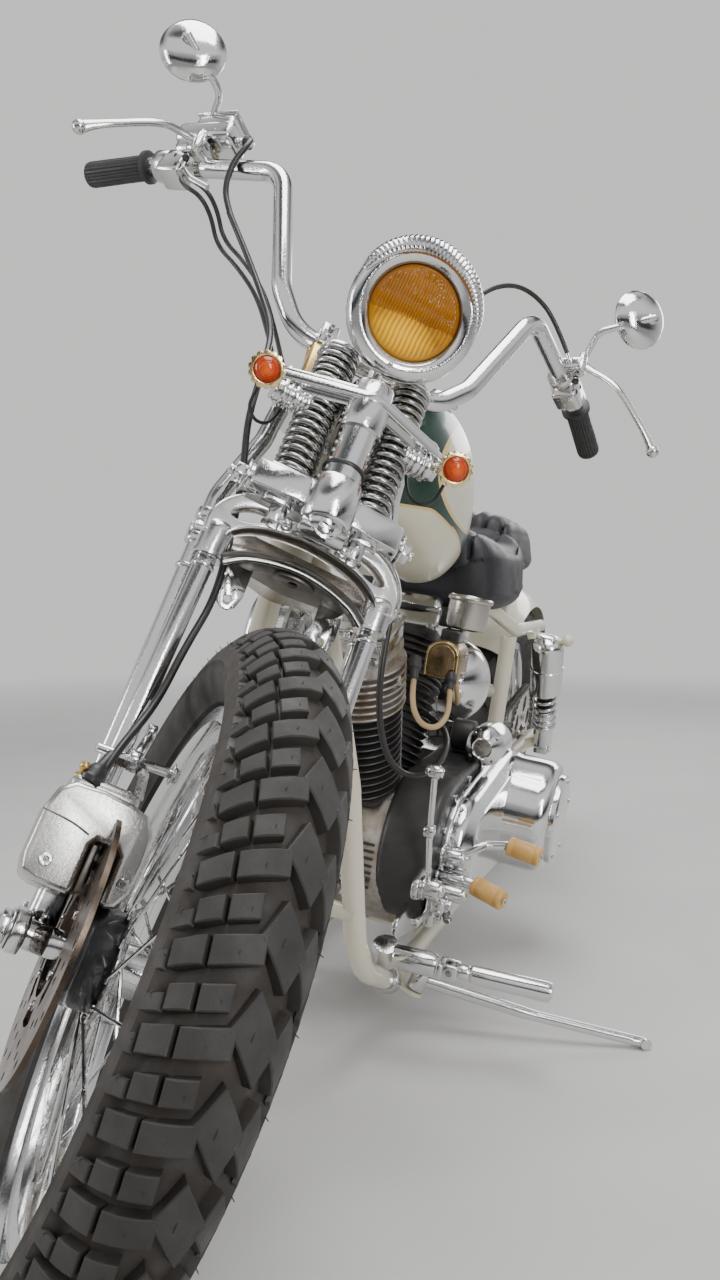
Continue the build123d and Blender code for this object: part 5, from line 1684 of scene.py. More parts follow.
def signals():
    """Small turn signals: chrome cup, gold scalloped bezel, domed lens with a painted glow."""
    bodies = Piece("turn_signal_bodies", *ON_FORK, "chrome", "turn_signals")
    lenses = Piece("turn_signal_lenses", *ON_FORK, "amber", "signal_lenses")
    place = shift(119, -128, 617) @ turn(31.5, "X") @ FACE_FRONT
    cup = [(0, -35), (7, -34), (13, -28), (16.4, -18), (17.4, -4), (17.4, 0), (0, 0)]
    bodies.pair(CHROME, moved(lathe(cup, 48), place))
    scallops = []
    for index in range(168):
        angle = 2 * pi * index / 168
        out = 18.4 + 2.4 * abs(sin(7 * angle))
        scallops.append((out * cos(angle), out * sin(angle)))
    bezel = slab(scallops, -1, 4.5, 0.8, [circle(0, 0, 14.6, 36)])
    bodies.pair(GOLD, moved(bezel, place))
    stalk = joined(
        between((106, -100, 628), (119, -118, 624), 8.5, 2),
        aimed(slab(hexagon(11), 0, 8, 1), (104, -100, 629), (0.6, -0.8, 0)),
        aimed(barrel(13, 0, 6, 1.5), (112, -110, 627), (0.6, -0.8, 0)),
    )
    bodies.pair(CHROME, stalk)
    wire = smooth_path(
        [
            (-119, -106, 606), (-118, -92, 590), (-106, -84, 582), (-92, -76, 590), (-84, -70, 612),
            (-82, -66, 630)
        ],
        6
    )
    bodies.pair(HOSE, sweep(wire, 2.0))
    dome = [
        (14.4, 1), (14.4, 3.5), (13, 6.5), (10, 9), (8.8, 9), (8.2, 9.8), (6, 10.8), (3, 11.4), (0, 11.6)
    ]
    lens = lathe([(0, 1)] + dome, 48)
    # Painted glow, brightest at the middle of each lens dome.
    shades = [1.0 - min(1.0, sqrt(p.x**2 + p.y**2) / 12.0) for p in lens[0]]
    lenses.add(ORANGE_LENS, both(moved(lens, place)), shade=shades * 2)
    bodies.done()
    lenses.done()


signals()

# Engine and running gear, in the chassis frame

ENGINE = Vector((0, -60, 270))


def bank(side):
    """The frame of one cylinder: -1 the front one, 1 the rear one."""
    return Matrix.Translation(ENGINE) @ turn(-22.5 * side, "X")


def side_slab(circles, low_x, high_x, edge, segments=3, steps=36):
    """A plate that stands along the machine, round circles (y, z, radius)."""
    return moved(slab(hull_outline(circles, steps), low_x, high_x, edge, (), segments), TO_SIDE)


def fin_ring(radius, thick, core):
    rim = [(radius - 1.2, 0.2), (radius, thick * 0.5), (radius - 1.2, thick - 0.2)]
    return lathe([(core, 0), *rim, (core, thick)], 64, True)


def cylinders():
    """Thin black fins on the barrels, broad ones on the heads, pale on the front head."""
    barrels = Piece("finned_barrels", *ON_CHASSIS, "black_engine", "cylinders")
    heads = Piece("finned_heads", *ON_CHASSIS, "black_engine", "cylinder_heads")
    for side in (-1, 1):
        place = bank(side)
        barrels.add(BLACK_CASTING, barrel(54, 108, 256, 1, 56), at=place)
        barrels.add(BLACK_CASTING, row_of(fin_ring(68, 3.0, 50), 11, 12.4), at=place @ shift(0, 0, 118))
        barrels.add(BLACK_CASTING, square_plate(46, 46, 12, 16, 108, 116, 1.5), at=place)
        metal = CAST_ALUMINIUM if side < 0 else BLACK_CASTING
        heads.add(metal, barrel(60, 255, 345, 2, 56), at=place)
        heads.add(metal, row_of(fin_ring(72, 4.4, 56), 7, 11.6), at=place @ shift(0, 0, 258))
        heads.add(metal, square_plate(34, 40, 22, 20, 330, 347, 4), at=place)
        for x, y in ((42, 42), (-42, 42), (42, -42), (-42, -42)):
            heads.add(CHROME, moved(bolt_head(8, 12, 11), place @ shift(x, y, 344)))
        plug_at = place @ aim((54, side * 8, 300), (1, 0, 0.5))
        heads.add(BRUSHED, barrel(11, 0, 10, 1), slab(hexagon(10), 8, 18, 1), at=plug_at)
    barrels.done()
    heads.done()


cylinders()


@made("rocker_covers", *ON_CHASSIS, "polished", "rocker_boxes")
def rocker_boxes(piece):
    for side in (-1, 1):
        place = bank(side)
        body = joined(
            put(soft_box((112, 92, 34), 8, 4), 0, 0, 364),
            put(soft_box((118, 96, 5), 2, 2), 0, 0, 381),
            put(soft_box((104, 82, 34), 14, 5, (0.86, 0.8)), 0, 0, 398),
        )
        piece.add(POLISHED, body, at=place)
        for x, y in ((48, 38), (-48, 38), (48, -38), (-48, -38), (0, 42), (0, -42)):
            piece.add(CHROME, put(cap_screw(5, 6), x, y, 383), at=place)
        for x in (-30, 30):
            piece.add(CHROME, put(dome_nut(9, 10), x, 0, 413), at=place)


@made("engine_cases", *ON_CHASSIS, "black_engine", "crankcase")
def crankcase(piece):
    piece.add(CAST_ALUMINIUM, side_slab([(-60, 270, 112), (-40, 200, 60)], -40, 84, 7, 4))
    piece.add(CAST_ALUMINIUM, side_slab([(-60, 270, 108), (-40, 200, 56)], -80, -38, 7, 4))
    cover = [(0, -112), (66, -112), (80, -108), (84, -100), (84, -80), (0, -80)]
    piece.add(POLISHED, lathe(cover, 64), at=shift(0, -70, 260) @ TO_X)
    for index in range(9):
        angle = 2 * pi * index / 9
        spot = (-110, -70 + 75 * cos(angle), 260 + 75 * sin(angle))
        piece.add(CHROME, aimed(cap_screw(4.5, 4), spot, (-1, 0, 0)))
    for y, z in ((-166, 250), (-158, 312), (-150, 212), (-120, 170), (-60, 148), (-120, 356)):
        lug = joined(
            across(barrel(13, -14, 14, 3), 20, y, z),
            aimed(bolt_head(7, 6, 10), (34, y, z), (1, 0, 0)),
        )
        piece.add(CAST_ALUMINIUM, lug)
    ribs = row_of(soft_box((110, 5, 4), 1.5, 2), 7, 11)
    piece.add(BLACK_CASTING, ribs, at=shift(10, -172, 232))
    for side in (-1, 1):
        base = bank(side)
        for x in (-26, -46):
            tube_cover = joined(
                barrel(8, 96, 330, 1, 20), barrel(11, 96, 120, 2, 20), barrel(10, 210, 226, 2, 20)
            )
            piece.add(CHROME, moved(tube_cover, base @ shift(x - 42, side * -20, 0)))
    filter_can = [(0, 0), (34, 0), (38, 4), (38, 66), (34, 74), (22, 80), (0, 82)]
    piece.add(CHROME, lathe(filter_can, 48), at=aim((-10, -176, 196), (0, -1, 0.1)) @ shift(0, 0, -22))


@made("gearbox_case", *ON_CHASSIS, "black_engine", "gearbox")
def gearbox(piece):
    piece.add(BLACK_CASTING, put(soft_box((146, 136, 146), 20, 5), 0, 230, 305))
    end = lathe([(0, 0), (46, 0), (50, 4), (50, 10), (44, 14), (0, 15)], 48)
    piece.add(POLISHED, aimed(end, (-74, 230, 305), (-1, 0, 0)))
    for x, y in ((52, 182), (-52, 182), (52, 278), (-52, 278), (0, 182), (0, 278)):
        piece.add(CHROME, put(cap_screw(5, 5), x, y, 376))
    piece.add(POLISHED, put(soft_box((120, 112, 8), 3), 0, 230, 376))


def primary_drive():
    """A black inner case and a bevelled polished cover with its round end."""
    inner = Piece("primary_inner_case", *ON_CHASSIS, "polished", "primary_case")
    inner.add(BLACK_CASTING, side_slab([(-60, 284, 118), (205, 300, 112)], 70, 151, 10, 4))
    inner.add(CHROME, side_slab([(-30, 284, 93), (222, 296, 112)], 150, 161, 2.5))
    for y, z in (
        (-118, 236), (-120, 330), (-76, 192), (0, 184), (80, 180), (-80, 372), (0, 386), (80, 396)
    ):
        inner.add(CHROME, aimed(cap_screw(5.5, 6), (150, y, z), (1, 0, 0)))
    inner.done()
    cover = Piece("primary_outer_cover", *ON_CHASSIS, "polished", "primary_cover")
    circles = [(-30, 284, 86), (222, 296, 106)]

    def resampled(outline, x):
        middle_y, middle_z = 85.0, 289.0
        points = []
        for index in range(112):
            angle = 2 * pi * index / 112
            way = Vector((cos(angle), sin(angle)))
            best = 0.0
            for (ay, az), (by, bz) in zip(outline, outline[1:] + outline[:1]):
                a, b = Vector((ay - middle_y, az - middle_z)), Vector((by - middle_y, bz - middle_z))
                run = b - a
                cross = way.x * run.y - way.y * run.x
                if abs(cross) < 1e-6:
                    continue
                reach = (a.x * run.y - a.y * run.x) / cross
                share = (a.x * way.y - a.y * way.x) / cross
                if reach > best and -0.001 <= share <= 1.001:
                    best = reach
            points.append((x, middle_y + way.x * best, middle_z + way.y * best))
        return points

    sections = []
    for inset, x in ((0, 160), (0, 166), (0, 172), (1.5, 177), (5, 182), (20, 192), (22, 195), (27, 196)):
        sections.append(resampled(hull_outline([(y, z, r - inset) for y, z, r in circles], 48), x))
    cover.add(CLEAN_CHROME, skin(sections))
    dome = [
        (0, 284), (64, 284), (76, 282), (79.4, 279), (80, 275), (80, 271), (88, 269.4), (95, 264),
        (99, 256), (100.4, 246), (101, 200), (104, 190), (0, 190)
    ]
    cover.add(CLEAN_CHROME, lathe(dome, 112), at=shift(0, 222, 296) @ TO_X)
    for index in range(5):
        angle = 2 * pi * index / 5 + 0.3
        spot = (282, 222 + 70 * cos(angle), 296 + 70 * sin(angle))
        cover.add(CHROME, aimed(cap_screw(4.2, 3), spot, (1, 0, 0)))
    cover.done(28)
    starter = Piece("starter_cap_turned", *ON_CHASSIS, "polished", "starter_cap")
    cap = [
        (0, -6), (31, -6), (33, -4), (33, 54), (31.6, 58), (18.4, 79), (16.4, 80.4), (14.6, 79), (13.6, 75),
        (0, 75)
    ]
    facing = aim((163, 94, 436), (0, -1, 0))
    starter.add(CLEAN_CHROME, lathe(cap, 72), at=facing)
    starter.add(BRUSHED, lathe([(0, 74), (13, 74), (13, 76.5), (5, 77.5), (0, 77.5)], 40), at=facing)
    for index in range(4):
        spot = facing @ shift(26 * cos(pi * index / 2 + 0.7), 26 * sin(pi * index / 2 + 0.7), 66)
        starter.add(CHROME, cap_screw(3.2, 3), at=spot)
    starter.add(BLACK_CASTING, across(barrel(27, 96, 132, 3), 0, 92, 436))
    starter.done()


primary_drive()


def tanks_and_boxes():
    oil = Piece("round_oil_tank", *ON_CHASSIS, "chrome", "oil_tank")
    tank_at = shift(0, 215, 505) @ TO_X
    round_end = [*arc(76, 66, 52, range(8, 91, 8)), (0, 118)]
    tank = lathe([(0, -34), (62, -34), (72, -31), (76, -24), (76, 52), *round_end], 96)
    oil.add(CLEAN_CHROME, tank, at=tank_at)
    seam = [(76, 40), (77.6, 41), (77.6, 44), (76, 45)]
    oil.add(CHROME, lathe(seam, 96, True), at=tank_at)
    oil.add(BLACK_PAINT, put(soft_box((16, 60, 10), 3), 20, 215, 584))
    cap = lathe([(0, 0), (15, 0), (16, 2), (16, 9), (14, 12), (0, 13)], 24)
    oil.add(CHROME, cap, at=shift(50, 215, 578))
    oil.done()
    can = Piece("brushed_canister", *ON_CHASSIS, "steel", "canister")
    body = [
        (0, 0), (26, 0), (31, 3), (32, 7), (32, 43), (34.4, 44), (35.4, 46), (35, 49.4), (32, 51.5),
        (30, 49.6), (0, 48.6)
    ]
    can.add(BRUSHED, lathe(body, 64), at=aim((119, -46, 626), (2, 2, 63)))
    can.add(BLACK_PAINT, put(soft_box((24, 22, 30), 4), 88, -40, 640))
    can.done()
    coil_box = Piece("arched_coil_cover", *ON_CHASSIS, "bronze", "coil_box")

    def arch(shrink):
        wide, top = 27 - shrink, 61 - shrink
        upper = [(105 + x, z) for x, z in arc(wide, 22, 549 + top - 22, range(0, 181, 15))]
        return [(105 - wide, 551 + shrink), (105 + wide, 551 + shrink)] + upper

    coil_box.add(BRONZE, slab(arch(0), 46, 103, 3.5, (), 4), at=FACE_FRONT)
    coil_box.add(BRONZE, slab(arch(6), 102, 106, 1.6, (), 3), at=FACE_FRONT)
    rim = [(x, -103.4, z) for x, z in arch(3.4)]
    coil_box.add(GOLD, sweep(smooth_path(rim[1:] + rim[:1], 3), 1.2))
    coil_box.add(BLACK_PAINT, put(soft_box((30, 40, 18), 3), 106, -62, 616))
    for z in (560, 590):
        coil_box.add(CHROME, aimed(cap_screw(4, 3), (132, -74, z), (1, 0, 0)))
    coil_box.done()


tanks_and_boxes()


@made("fuel_tank_skin", *ON_CHASSIS, "green_paint", "fuel_tank", sharp=60)
def fuel_tank(piece):
    """A tall teardrop tank: green, with cream on its flanks and belly and a gold line between."""
    stations = [
        (-304, 34, 802, 884), (-300, 54, 788, 908), (-286, 80, 776, 928), (-262, 96, 762, 942),
        (-220, 107, 738, 954), (-160, 112, 704, 960), (-100, 109, 686, 956), (-40, 100, 686, 944),
        (20, 85, 694, 924), (66, 68, 702, 898), (96, 50, 712, 872), (108, 37, 726, 852), (112, 22, 748, 830)
    ]
    sections, around = [], 72
    for y, half, low, high in stations:
        loop = []
        for index in range(around):
            angle = 2 * pi * index / around
            side, rise = sin(angle), -cos(angle)
            power = 0.66 if rise > 0 else 0.36 + 0.40 * unit((y + 170) / 150)
            x = half * (abs(side) ** power) * (1 if side >= 0 else -1)
            middle = low + (high - low) * 0.42
            if rise > 0:
                z = middle + (high - middle) * rise**0.92
            else:
                z = middle - (middle - low) * abs(rise) ** 0.9
            z += 12 * max(0.0, -rise) * (1 - min(1.0, abs(x) / 30)) * (y > -280)
            loop.append(Vector((x, y, z)))
        sections.append(loop)
    fine = []
    for spans in zip([sections[0]] + sections, sections, sections[1:], sections[2:] + [sections[-1]]):
        for step in range(4):
            fine.append([between_four(*spots, step / 4) for spots in zip(*spans)])
    body = skin(fine + [sections[-1]])
    shades = []
    for point in body[0]:
        x, y, z = abs(point.x), point.y, point.z
        belly = z - (797 - 0.30 * max(0.0, y + 250))
        tall = 78 - 0.2 * max(0.0, y + 60)
        reach = sqrt(((y + 60) / 190) ** 2 + ((z - 851) / tall) ** 2)
        panel = (reach - 1.0) * 70 if x > 60 else 60.0
        shades.append(min(belly, panel))
    piece.add(TANK_PAINT, body, shade=shades)
    cap = [(0, 0), (26, 0), (27.5, 2), (27.5, 8), (25, 11), (19, 13), (16, 18), (0, 19)]
    piece.add(CLEAN_CHROME, lathe(cap, 48), at=aim((46, -120, 952), (0.25, -0.05, 1)))
    piece.add(CHROME, aimed(dome_nut(8, 8), (40, -40, 700), (0, 0, -1)))


def seat():
    """A low solo seat with a raised pillion pad: tuck-and-roll top, plain skirt, welted seams."""
    piece = Piece("tuck_and_roll_seat", *ON_CHASSIS, "leather", "seat")

    pitch = 38.0

    def pad(stations, skirt):
        rings, shades, around = [], [], 120
        first = stations[0][0]
        for y, half, low, high, crown in stations:
            loop = []
            for index in range(around):
                angle = 2 * pi * index / around
                side, rise = sin(angle), cos(angle)
                x = half * (abs(side) ** 0.55) * (1 if side >= 0 else -1)
                middle = (low + high) / 2
                z = middle + (high - middle) * (abs(rise) ** 0.42) * (1 if rise >= 0 else -1)
                shade, roll, sunk, nose = 0.0, 0.0, 0.0, 0.0
                if rise > -0.2:
                    nose = unit((first + 66 - y) / 26)
                    z += crown * (1 - (x / half) ** 2) * (rise > 0)
                    near = abs((x / pitch) % 1.0 - 0.5) * 2
                    if abs(x) < half - 6:
                        sunk = max(0.0, 1 - abs(1 - near) * pitch / 2 / 4.2)
                    roll = sqrt(max(0.0, 1 - (2 * ((x / pitch) % 1.0) - 1) ** 2))
                    z += (3.6 * roll - 6.0 * sunk**0.7) * (rise > 0)
                    shade = 0.8 * sunk
                x *= 1 + 0.13 * unit((738 - z) / 110) - 0.12 * unit((z - 738) / 45)
                if abs(z - (low + skirt)) < 3.2:
                    x *= 1.012 if abs(z - (low + skirt)) < 1.6 else 0.992
                    shade = max(shade, 0.35)
                loop.append(Vector((x, y - (5.0 * roll - 7.5 * sunk**0.7) * nose * (abs(x) < half), z)))
                shades.append(shade)
            rings.append(loop)
        return skin(rings), shades

    def spread(keys, count):
        rows = []
        for index in range(count + 1):
            at = (len(keys) - 1) * index / count
            k = min(int(at), len(keys) - 2)
            near = keys[max(k - 1, 0)], keys[k], keys[k + 1], keys[min(k + 2, len(keys) - 1)]
            rows.append([between_four(*values, at - k) for values in zip(*near)])
        return rows

    front = [
        (84, 60, 690, 712, 1), (88, 84, 668, 742, 3), (100, 104, 650, 762, 6), (124, 116, 642, 770, 8),
        (170, 123, 640, 768, 7), (230, 125, 642, 760, 5), (290, 124, 648, 762, 5), (330, 120, 656, 778, 6),
        (356, 112, 672, 776, 5), (368, 96, 690, 764, 3)
    ]
    back = [
        (338, 70, 712, 742, 2), (344, 88, 704, 776, 4), (360, 96, 700, 798, 7), (400, 99, 700, 806, 9),
        (470, 99, 702, 804, 8), (540, 96, 706, 800, 7), (580, 88, 712, 792, 5), (596, 72, 722, 776, 3),
        (602, 48, 734, 760, 1)
    ]
    for keys, skirt in ((front, 34), (back, 26)):
        part, shades = pad(spread(keys, 96), skirt)
        piece.add(LEATHER, part, shade=shades)
    piece.add(BLACK_PAINT, slab(hull_outline([(0, 120, 84), (0, 320, 96)], 28), 636, 644, 2.0))
    item = piece.done(60)


seat()


@made("rear_shock_absorbers", *ON_CHASSIS, "chrome", "rear_shocks")
def rear_shocks(piece):
    low, high = Vector((159, 724, 316)), Vector((151, 598, 571))
    run = high - low
    place = aim(low, run)
    length = run.length
    eye = joined(
        across(barrel(14, -14, 16, 2), 155, 724, 316),
        aimed(dome_nut(9, 9), (170, 724, 316), (1, 0, 0)),
        across(barrel(14, -18, 22, 2), 141, 598, 571),
    )
    body = [(0, 4), (12, 6), (15, 12), (20, 16), (22, 22), (22, 104), (20, 108), (10, 110), (0, 110)]
    cover = [
        (0, length - 128), (31, length - 128), (34, length - 126), (34, length - 74), (36, length - 72),
        (36, length - 66), (34, length - 64), (34, length - 16),
        *arc(34, 26, length - 16, range(12, 91, 13))
    ]
    piece.pair(CLEAN_CHROME, eye, moved(lathe(body, 56), place), moved(lathe(cover, 56), place))
    spring = moved(coil((0, 0, 60), (0, 0, length - 118), 27.5, 4.4, 6.5, 28, 10), place)
    piece.pair(CHROME, spring)
    piece.pair(DARK_STEEL, moved(barrel(17, 96, length - 110, 1), place))
    knob_at = (191, 598, 577)
    piece.pair(CREAM_PAINT, put(ball(12.5, 12, 32), *knob_at), between((150, 598, 571), knob_at, 6, 1))


@made("twin_exhaust_pipes", *ON_CHASSIS, "chrome", "exhaust_pipes")
def exhaust(piece):
    """Two pipes down the right side, joined by clamps, with turned tips."""
    front = [(-60, -225, 560), (-120, -268, 520), (-150, -240, 300), (-165, -60, 205), (-170, 850, 215)]
    rear = [(-60, 140, 560), (-130, 190, 500), (-170, 170, 330), (-172, 300, 268), (-175, 850, 268)]
    flange = lathe([(22, 2), (30, 2), (31, 4), (31, 14), (27, 18), (22, 18)], 40, True)
    tip = lathe([(22, 0), (23.6, 1), (24, 4), (24, 20), (22, 22), (17, 22), (16, 4), (0, 3)], 40)
    for line, radii in ((front, [40, 70, 90]), (rear, [40, 60, 60])):
        piece.add(CLEAN_CHROME, tube(line, radii, 22, 14, 40))
        start = Vector(line[0])
        way = Vector(line[1]) - start
        piece.add(CHROME, aimed(flange, start + way * 0.2, way))
        piece.add(CHROME, aimed(tip, (line[-1][0], 832, line[-1][2]), (0, 1, 0)))
        for y in (380, 600):
            band = aimed(barrel(24, -9, 9, 1.5, 40), (line[-1][0] + 0.6, y, line[-1][2]), (0, 1, 0))
            piece.add(DULL_CHROME, band)
    stay = tube([(-124, 500, 300), (-146, 520, 262), (-150, 560, 240)], [16], 7)
    piece.add(BLACK_PAINT, stay)


def intake():
    carb = Piece("carburettor_body", *ON_CHASSIS, "polished", "carburettor")
    body = [
        (0, 60), (25, 60), (26, 62), (26, 78), (22, 82), (22, 96), (26, 100), (26, 136), (24, 140), (0, 140)
    ]
    carb.add(POLISHED, lathe(body, 48), at=shift(0, -60, 545) @ turn(-90, "Y"))
    bowl = [(0, -42), (20, -42), (23, -38), (23, -4), (20, 0), (0, 0)]
    carb.add(POLISHED, lathe(bowl, 40), at=shift(-112, -60, 532))
    carb.add(BRASS, moved(cap_screw(5, 6), shift(-112, -60, 490) @ turn(180, "X")))
    carb.add(CHROME, put(soft_box((10, 26, 30), 3), -118, -92, 552))
    carb.done()
    cleaner = Piece("round_air_cleaner", *ON_CHASSIS, "chrome", "air_cleaner")
    dish = [
        (0, 140), (84, 140), (88, 144), (88, 152), (85, 154), (85, 192), (88, 194), (88, 200), (84, 206),
        (74, 209), (66, 206), (62, 207), (58, 210), (40, 211.6), (0, 212)
    ]
    cleaner.add(CLEAN_CHROME, lathe(dish, 112), at=shift(0, -60, 560) @ turn(-90, "Y"))
    rib = put(soft_box((1.6, 3.2, 22), 0.8, 2), -209, 0, 48)
    cleaner.add(CHROME, put(ring_of(rib, 36), 0, -60, 560))
    pleat = put(soft_box((36, 3.0, 3.4), 0.8, 1), -173, 0, 85.2)
    cleaner.add(DARK_STEEL, put(ring_of(pleat, 96), 0, -60, 560))
    cleaner.add(CHROME, aimed(dome_nut(9, 8), (-211, -60, 560), (-1, 0, 0)))
    cleaner.done()


intake()


def footrests():
    peg = Piece("highway_footpeg", *ON_CHASSIS, "chrome", "highway_peg")
    clamp = joined(
        aimed(barrel(20, -17, 17, 3, 40), (125, -214, 124), (0, 0.86, -0.5)),
        aimed(barrel(19, -17, 17, 3, 40), (126, -246, 176), (0, 0.42, -0.9)),
    )
    peg.add(CHROME, clamp)
    arm = [(0, 0), (15, 0), (17, 3), (17, 58), (15, 62), (0, 62)]
    peg.add(CHROME, lathe(arm, 40), at=aim((142, -258, 180), (1, 0.08, 0.02)))
    fork_end = joined(
        put(soft_box((10, 34, 22), 3), 210, -256, 181),
        put(soft_box((26, 8, 22), 3), 222, -242, 182),
        put(soft_box((26, 8, 22), 3), 222, -266, 182),
        aimed(barrel(6, -16, 16, 1.5), (224, -254, 182), (0, 1, 0)),
    )
    peg.add(CHROME, fork_end)
    rest = [
        (0, 0), (9, 0), (10.5, 3), (11, 16), (9.5, 19), (13, 23), (13.6, 40), (14.4, 124), (13, 130),
        (7, 133), (0, 133)
    ]
    peg.add(CLEAN_CHROME, lathe(rest, 40), at=aim((230, -252, 182), (1, 0.10, 0.01)))
    peg.done()

    control = Piece("foot_shift_controls", *ON_CHASSIS, "chrome", "foot_controls")
    control.add(POLISHED, side_slab([(-200, 262, 17), (-150, 258, 22), (-120, 286, 15)], 140, 150, 2))
    for y, z, low, high, r in (
        (-196, 264, 146, 178, 15), (-158, 252, 146, 204, 12), (-122, 262, 146, 196, 10),
        (-128, 296, 150, 188, 12)
    ):
        control.add(CHROME, across(barrel(r, low, high, 2), 0, y, z))
        control.add(CHROME, across(barrel(r + 3, low + 6, low + 11, 1), 0, y, z))
        control.add(CHROME, aimed(dome_nut(r * 0.7, 8), (high - 1, y, z), (1, 0, 0)))
    arms = joined(
        between((188, -122, 262), (214, -122, 261), 9, 1.5),
        between((180, -128, 296), (206, -60, 304), 6.5, 1.2),
        between((206, -60, 304), (240, -31, 304), 7, 1.4),
        between((150, -222, 440), (152, -206, 350), 4.6, 1),
        between((152, -206, 350), (158, -196, 278), 4.6, 1.2),
        aimed(barrel(10, -7, 7, 2), (152, -206, 350), (1, 0, 0)),
        aimed(barrel(10, -8, 8, 2), (150, -222, 440), (1, 0, 0)),
        aimed(slab(hexagon(8), -12, 12, 1), (150, -222, 440), (1, 0, 0)),
        put(soft_box((20, 40, 20), 4), 176, -172, 238),
        put(soft_box((16, 26, 60), 4), 160, -150, 222),
        put(soft_box((20, 30, 22), 4), 186, -110, 286),
        aimed(bolt_head(8, 7, 11), (168, -150, 206), (1, 0, 0)),
        aimed(bolt_head(8, 7, 11), (186, -172, 238), (1, 0, 0)),
        put(soft_box((12, 70, 12), 3), 152, -176, 214),
    )
    control.add(CHROME, arms)
    lower = side_slab([(-196, 196, 18), (-120, 190, 26), (-90, 214, 16)], 120, 128, 2)
    control.add(POLISHED, lower)
    control.add(
        SPRING_STEEL, aimed(coil((0, 0, 0), (0, 0, 34), 7, 1.4, 8, 16, 6), (176, -140, 226), (0.2, 0.5, -1))
    )
    control.done()

    rubbers = Piece("caramel_peg_rubbers", *ON_CHASSIS, "tan", "peg_rubbers")
    form = [
        (0, 0), (13, 0), (15, 1.6), (15, 8), (14.4, 9), (15, 10), (15, 42), (14.4, 43), (15, 44), (15, 50),
        (13.4, 52), (0, 52)
    ]
    rubbers.add(TAN_RUBBER, lathe(form, 48), at=aim((212, -121, 260), (50, -19, -6)))
    rubbers.add(TAN_RUBBER, aimed(lathe(form, 48), (238, -30, 304), (50, -4, -5)))
    for spot in ((261, -140, 254), (289, -34, 299)):
        rubbers.add(CHROME, aimed(cap_screw(5, 3), spot, (46, -16, -9)))
    rubbers.done()


footrests()


def toothed(radius, count, thick, bore, windows=()):
    outline = []
    for index in range(count):
        for share, r in ((0.0, -5.0), (0.22, -4.0), (0.42, 2.0), (0.58, 2.0), (0.78, -4.0)):
            angle = 2 * pi * (index + share) / count
            outline.append(((radius + r) * cos(angle), (radius + r) * sin(angle)))
    return slab(outline, -thick / 2, thick / 2, 0.6, [circle(0, 0, bore, 36), *windows], 1)


def chain_path():
    """Points round both sprockets, in the plane of the chain (y, z)."""
    outline = hull_outline([(230, 300, 48), (810, 318, 118)], 120)
    points = [Vector(p) for p in outline]
    lengths, total = [0.0], 0.0
    for a, b in zip(points, points[1:] + points[:1]):
        total += (b - a).length
        lengths.append(total)
    return points, lengths, total


@made("roller_chain", *ON_CHASSIS, "steel", "drive_chain", sharp=40)
def drive_chain(piece):
    """Roller chain: inner and outer plates by turns, with rollers on the pins."""
    points, lengths, total = chain_path()
    count = int(total / 15.875) // 2 * 2

    def at(distance):
        distance %= total
        for index, (a, b) in enumerate(zip(lengths, lengths[1:])):
            if distance <= b:
                p, q = points[index], points[(index + 1) % len(points)]
                return p.lerp(q, (distance - a) / (b - a))

    link = {}
    for kind, x in ((0, 4.4), (1, 6.4)):
        plates = []
        for side in (-1, 1):
            waist = [
                (-7.9 - 5.4, 0), (-7.9 - 3.8, 3.8), (-7.9, 5.4), (-3, 3.6), (3, 3.6), (7.9, 5.4),
                (7.9 + 3.8, 3.8), (7.9 + 5.4, 0)
            ]
            waist += [(u, -v) for u, v in waist[-2:0:-1]]
            low, high = sorted((side * x, side * (x + 1.7)))
            plates.append(slab(waist, low, high, 0.0))
        plates.append(put(barrel(4.6, -4, 4, 0.4, 10), -7.9, 0, 0))
        plates.append(put(barrel(2.4, -8.6, 8.6, 0.4, 8), 7.9, 0, 0))
        link[kind] = joined(*plates)
    for index in range(count):
        a, b = at(total * index / count), at(total * (index + 1) / count)
        way = (b - a).normalized()
        middle = (a + b) / 2
        place = Matrix(
            ((0, 0, 1, 86), (way.x, -way.y, 0, middle.x), (way.y, way.x, 0, middle.y), (0, 0, 0, 1))
        )
        piece.add(DARK_STEEL, moved(link[index % 2], place))
    teeth = toothed(46, 19, 6, 28)
    piece.add(DARK_STEEL, across(teeth, 86, 230, 300))


@made("rear_sprocket_toothed", *ON_REAR, "steel", "rear_sprocket")
def sprocket(piece):
    windows = [circle(y, z, 20, 24) for y, z in hexagon(76)]
    piece.add(BRUSHED, toothed(115, 46, 6, 26.2, windows), at=shift(86) @ TO_X)
    bolts = ring_of(aimed(bolt_head(7, 6, 10), (89, 0, 44), (1, 0, 0)), 5)
    piece.add(CHROME, bolts)


@made("side_stand_leg", MM, "stand", "chrome", "side_stand")
def side_stand(piece):
    """A slim chrome leg from its hinge to a turned-out toe."""
    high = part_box("side_stand")[1]
    pivot = Vector(joints["side_stand_fold"]["pos_m"]) * 1000
    axis = Vector(joints["side_stand_fold"]["axis"]).normalized()
    foot = Vector((high.x * 1000 - 12, high.y * 1000 - 12, 9))
    middle = pivot.lerp(foot, 0.5) + Vector((0, 0, -6))
    run = (foot - middle).normalized()
    line = rounded([pivot, middle, foot], [300], 24)
    count = len(line)
    piece.add(
        CLEAN_CHROME, sweep(line, ring_outline(9, 28), [1.0 - 0.16 * i / count for i in range(count)])
    )
    toe = smooth_path([foot - run * 16, foot, foot + Vector((6, -6, -0.5))], 6)
    piece.add(CHROME, sweep(toe, ellipse(9.2, 7.6, 24)))
    piece.add(CHROME, aimed(barrel(13.8, -15, 15, 2, 40), pivot, axis))
    piece.add(POLISHED, aimed(barrel(12, -1, 4, 1, 32), pivot + axis * 15, axis))


# Cables and leads: each is one smooth spline between two fittings


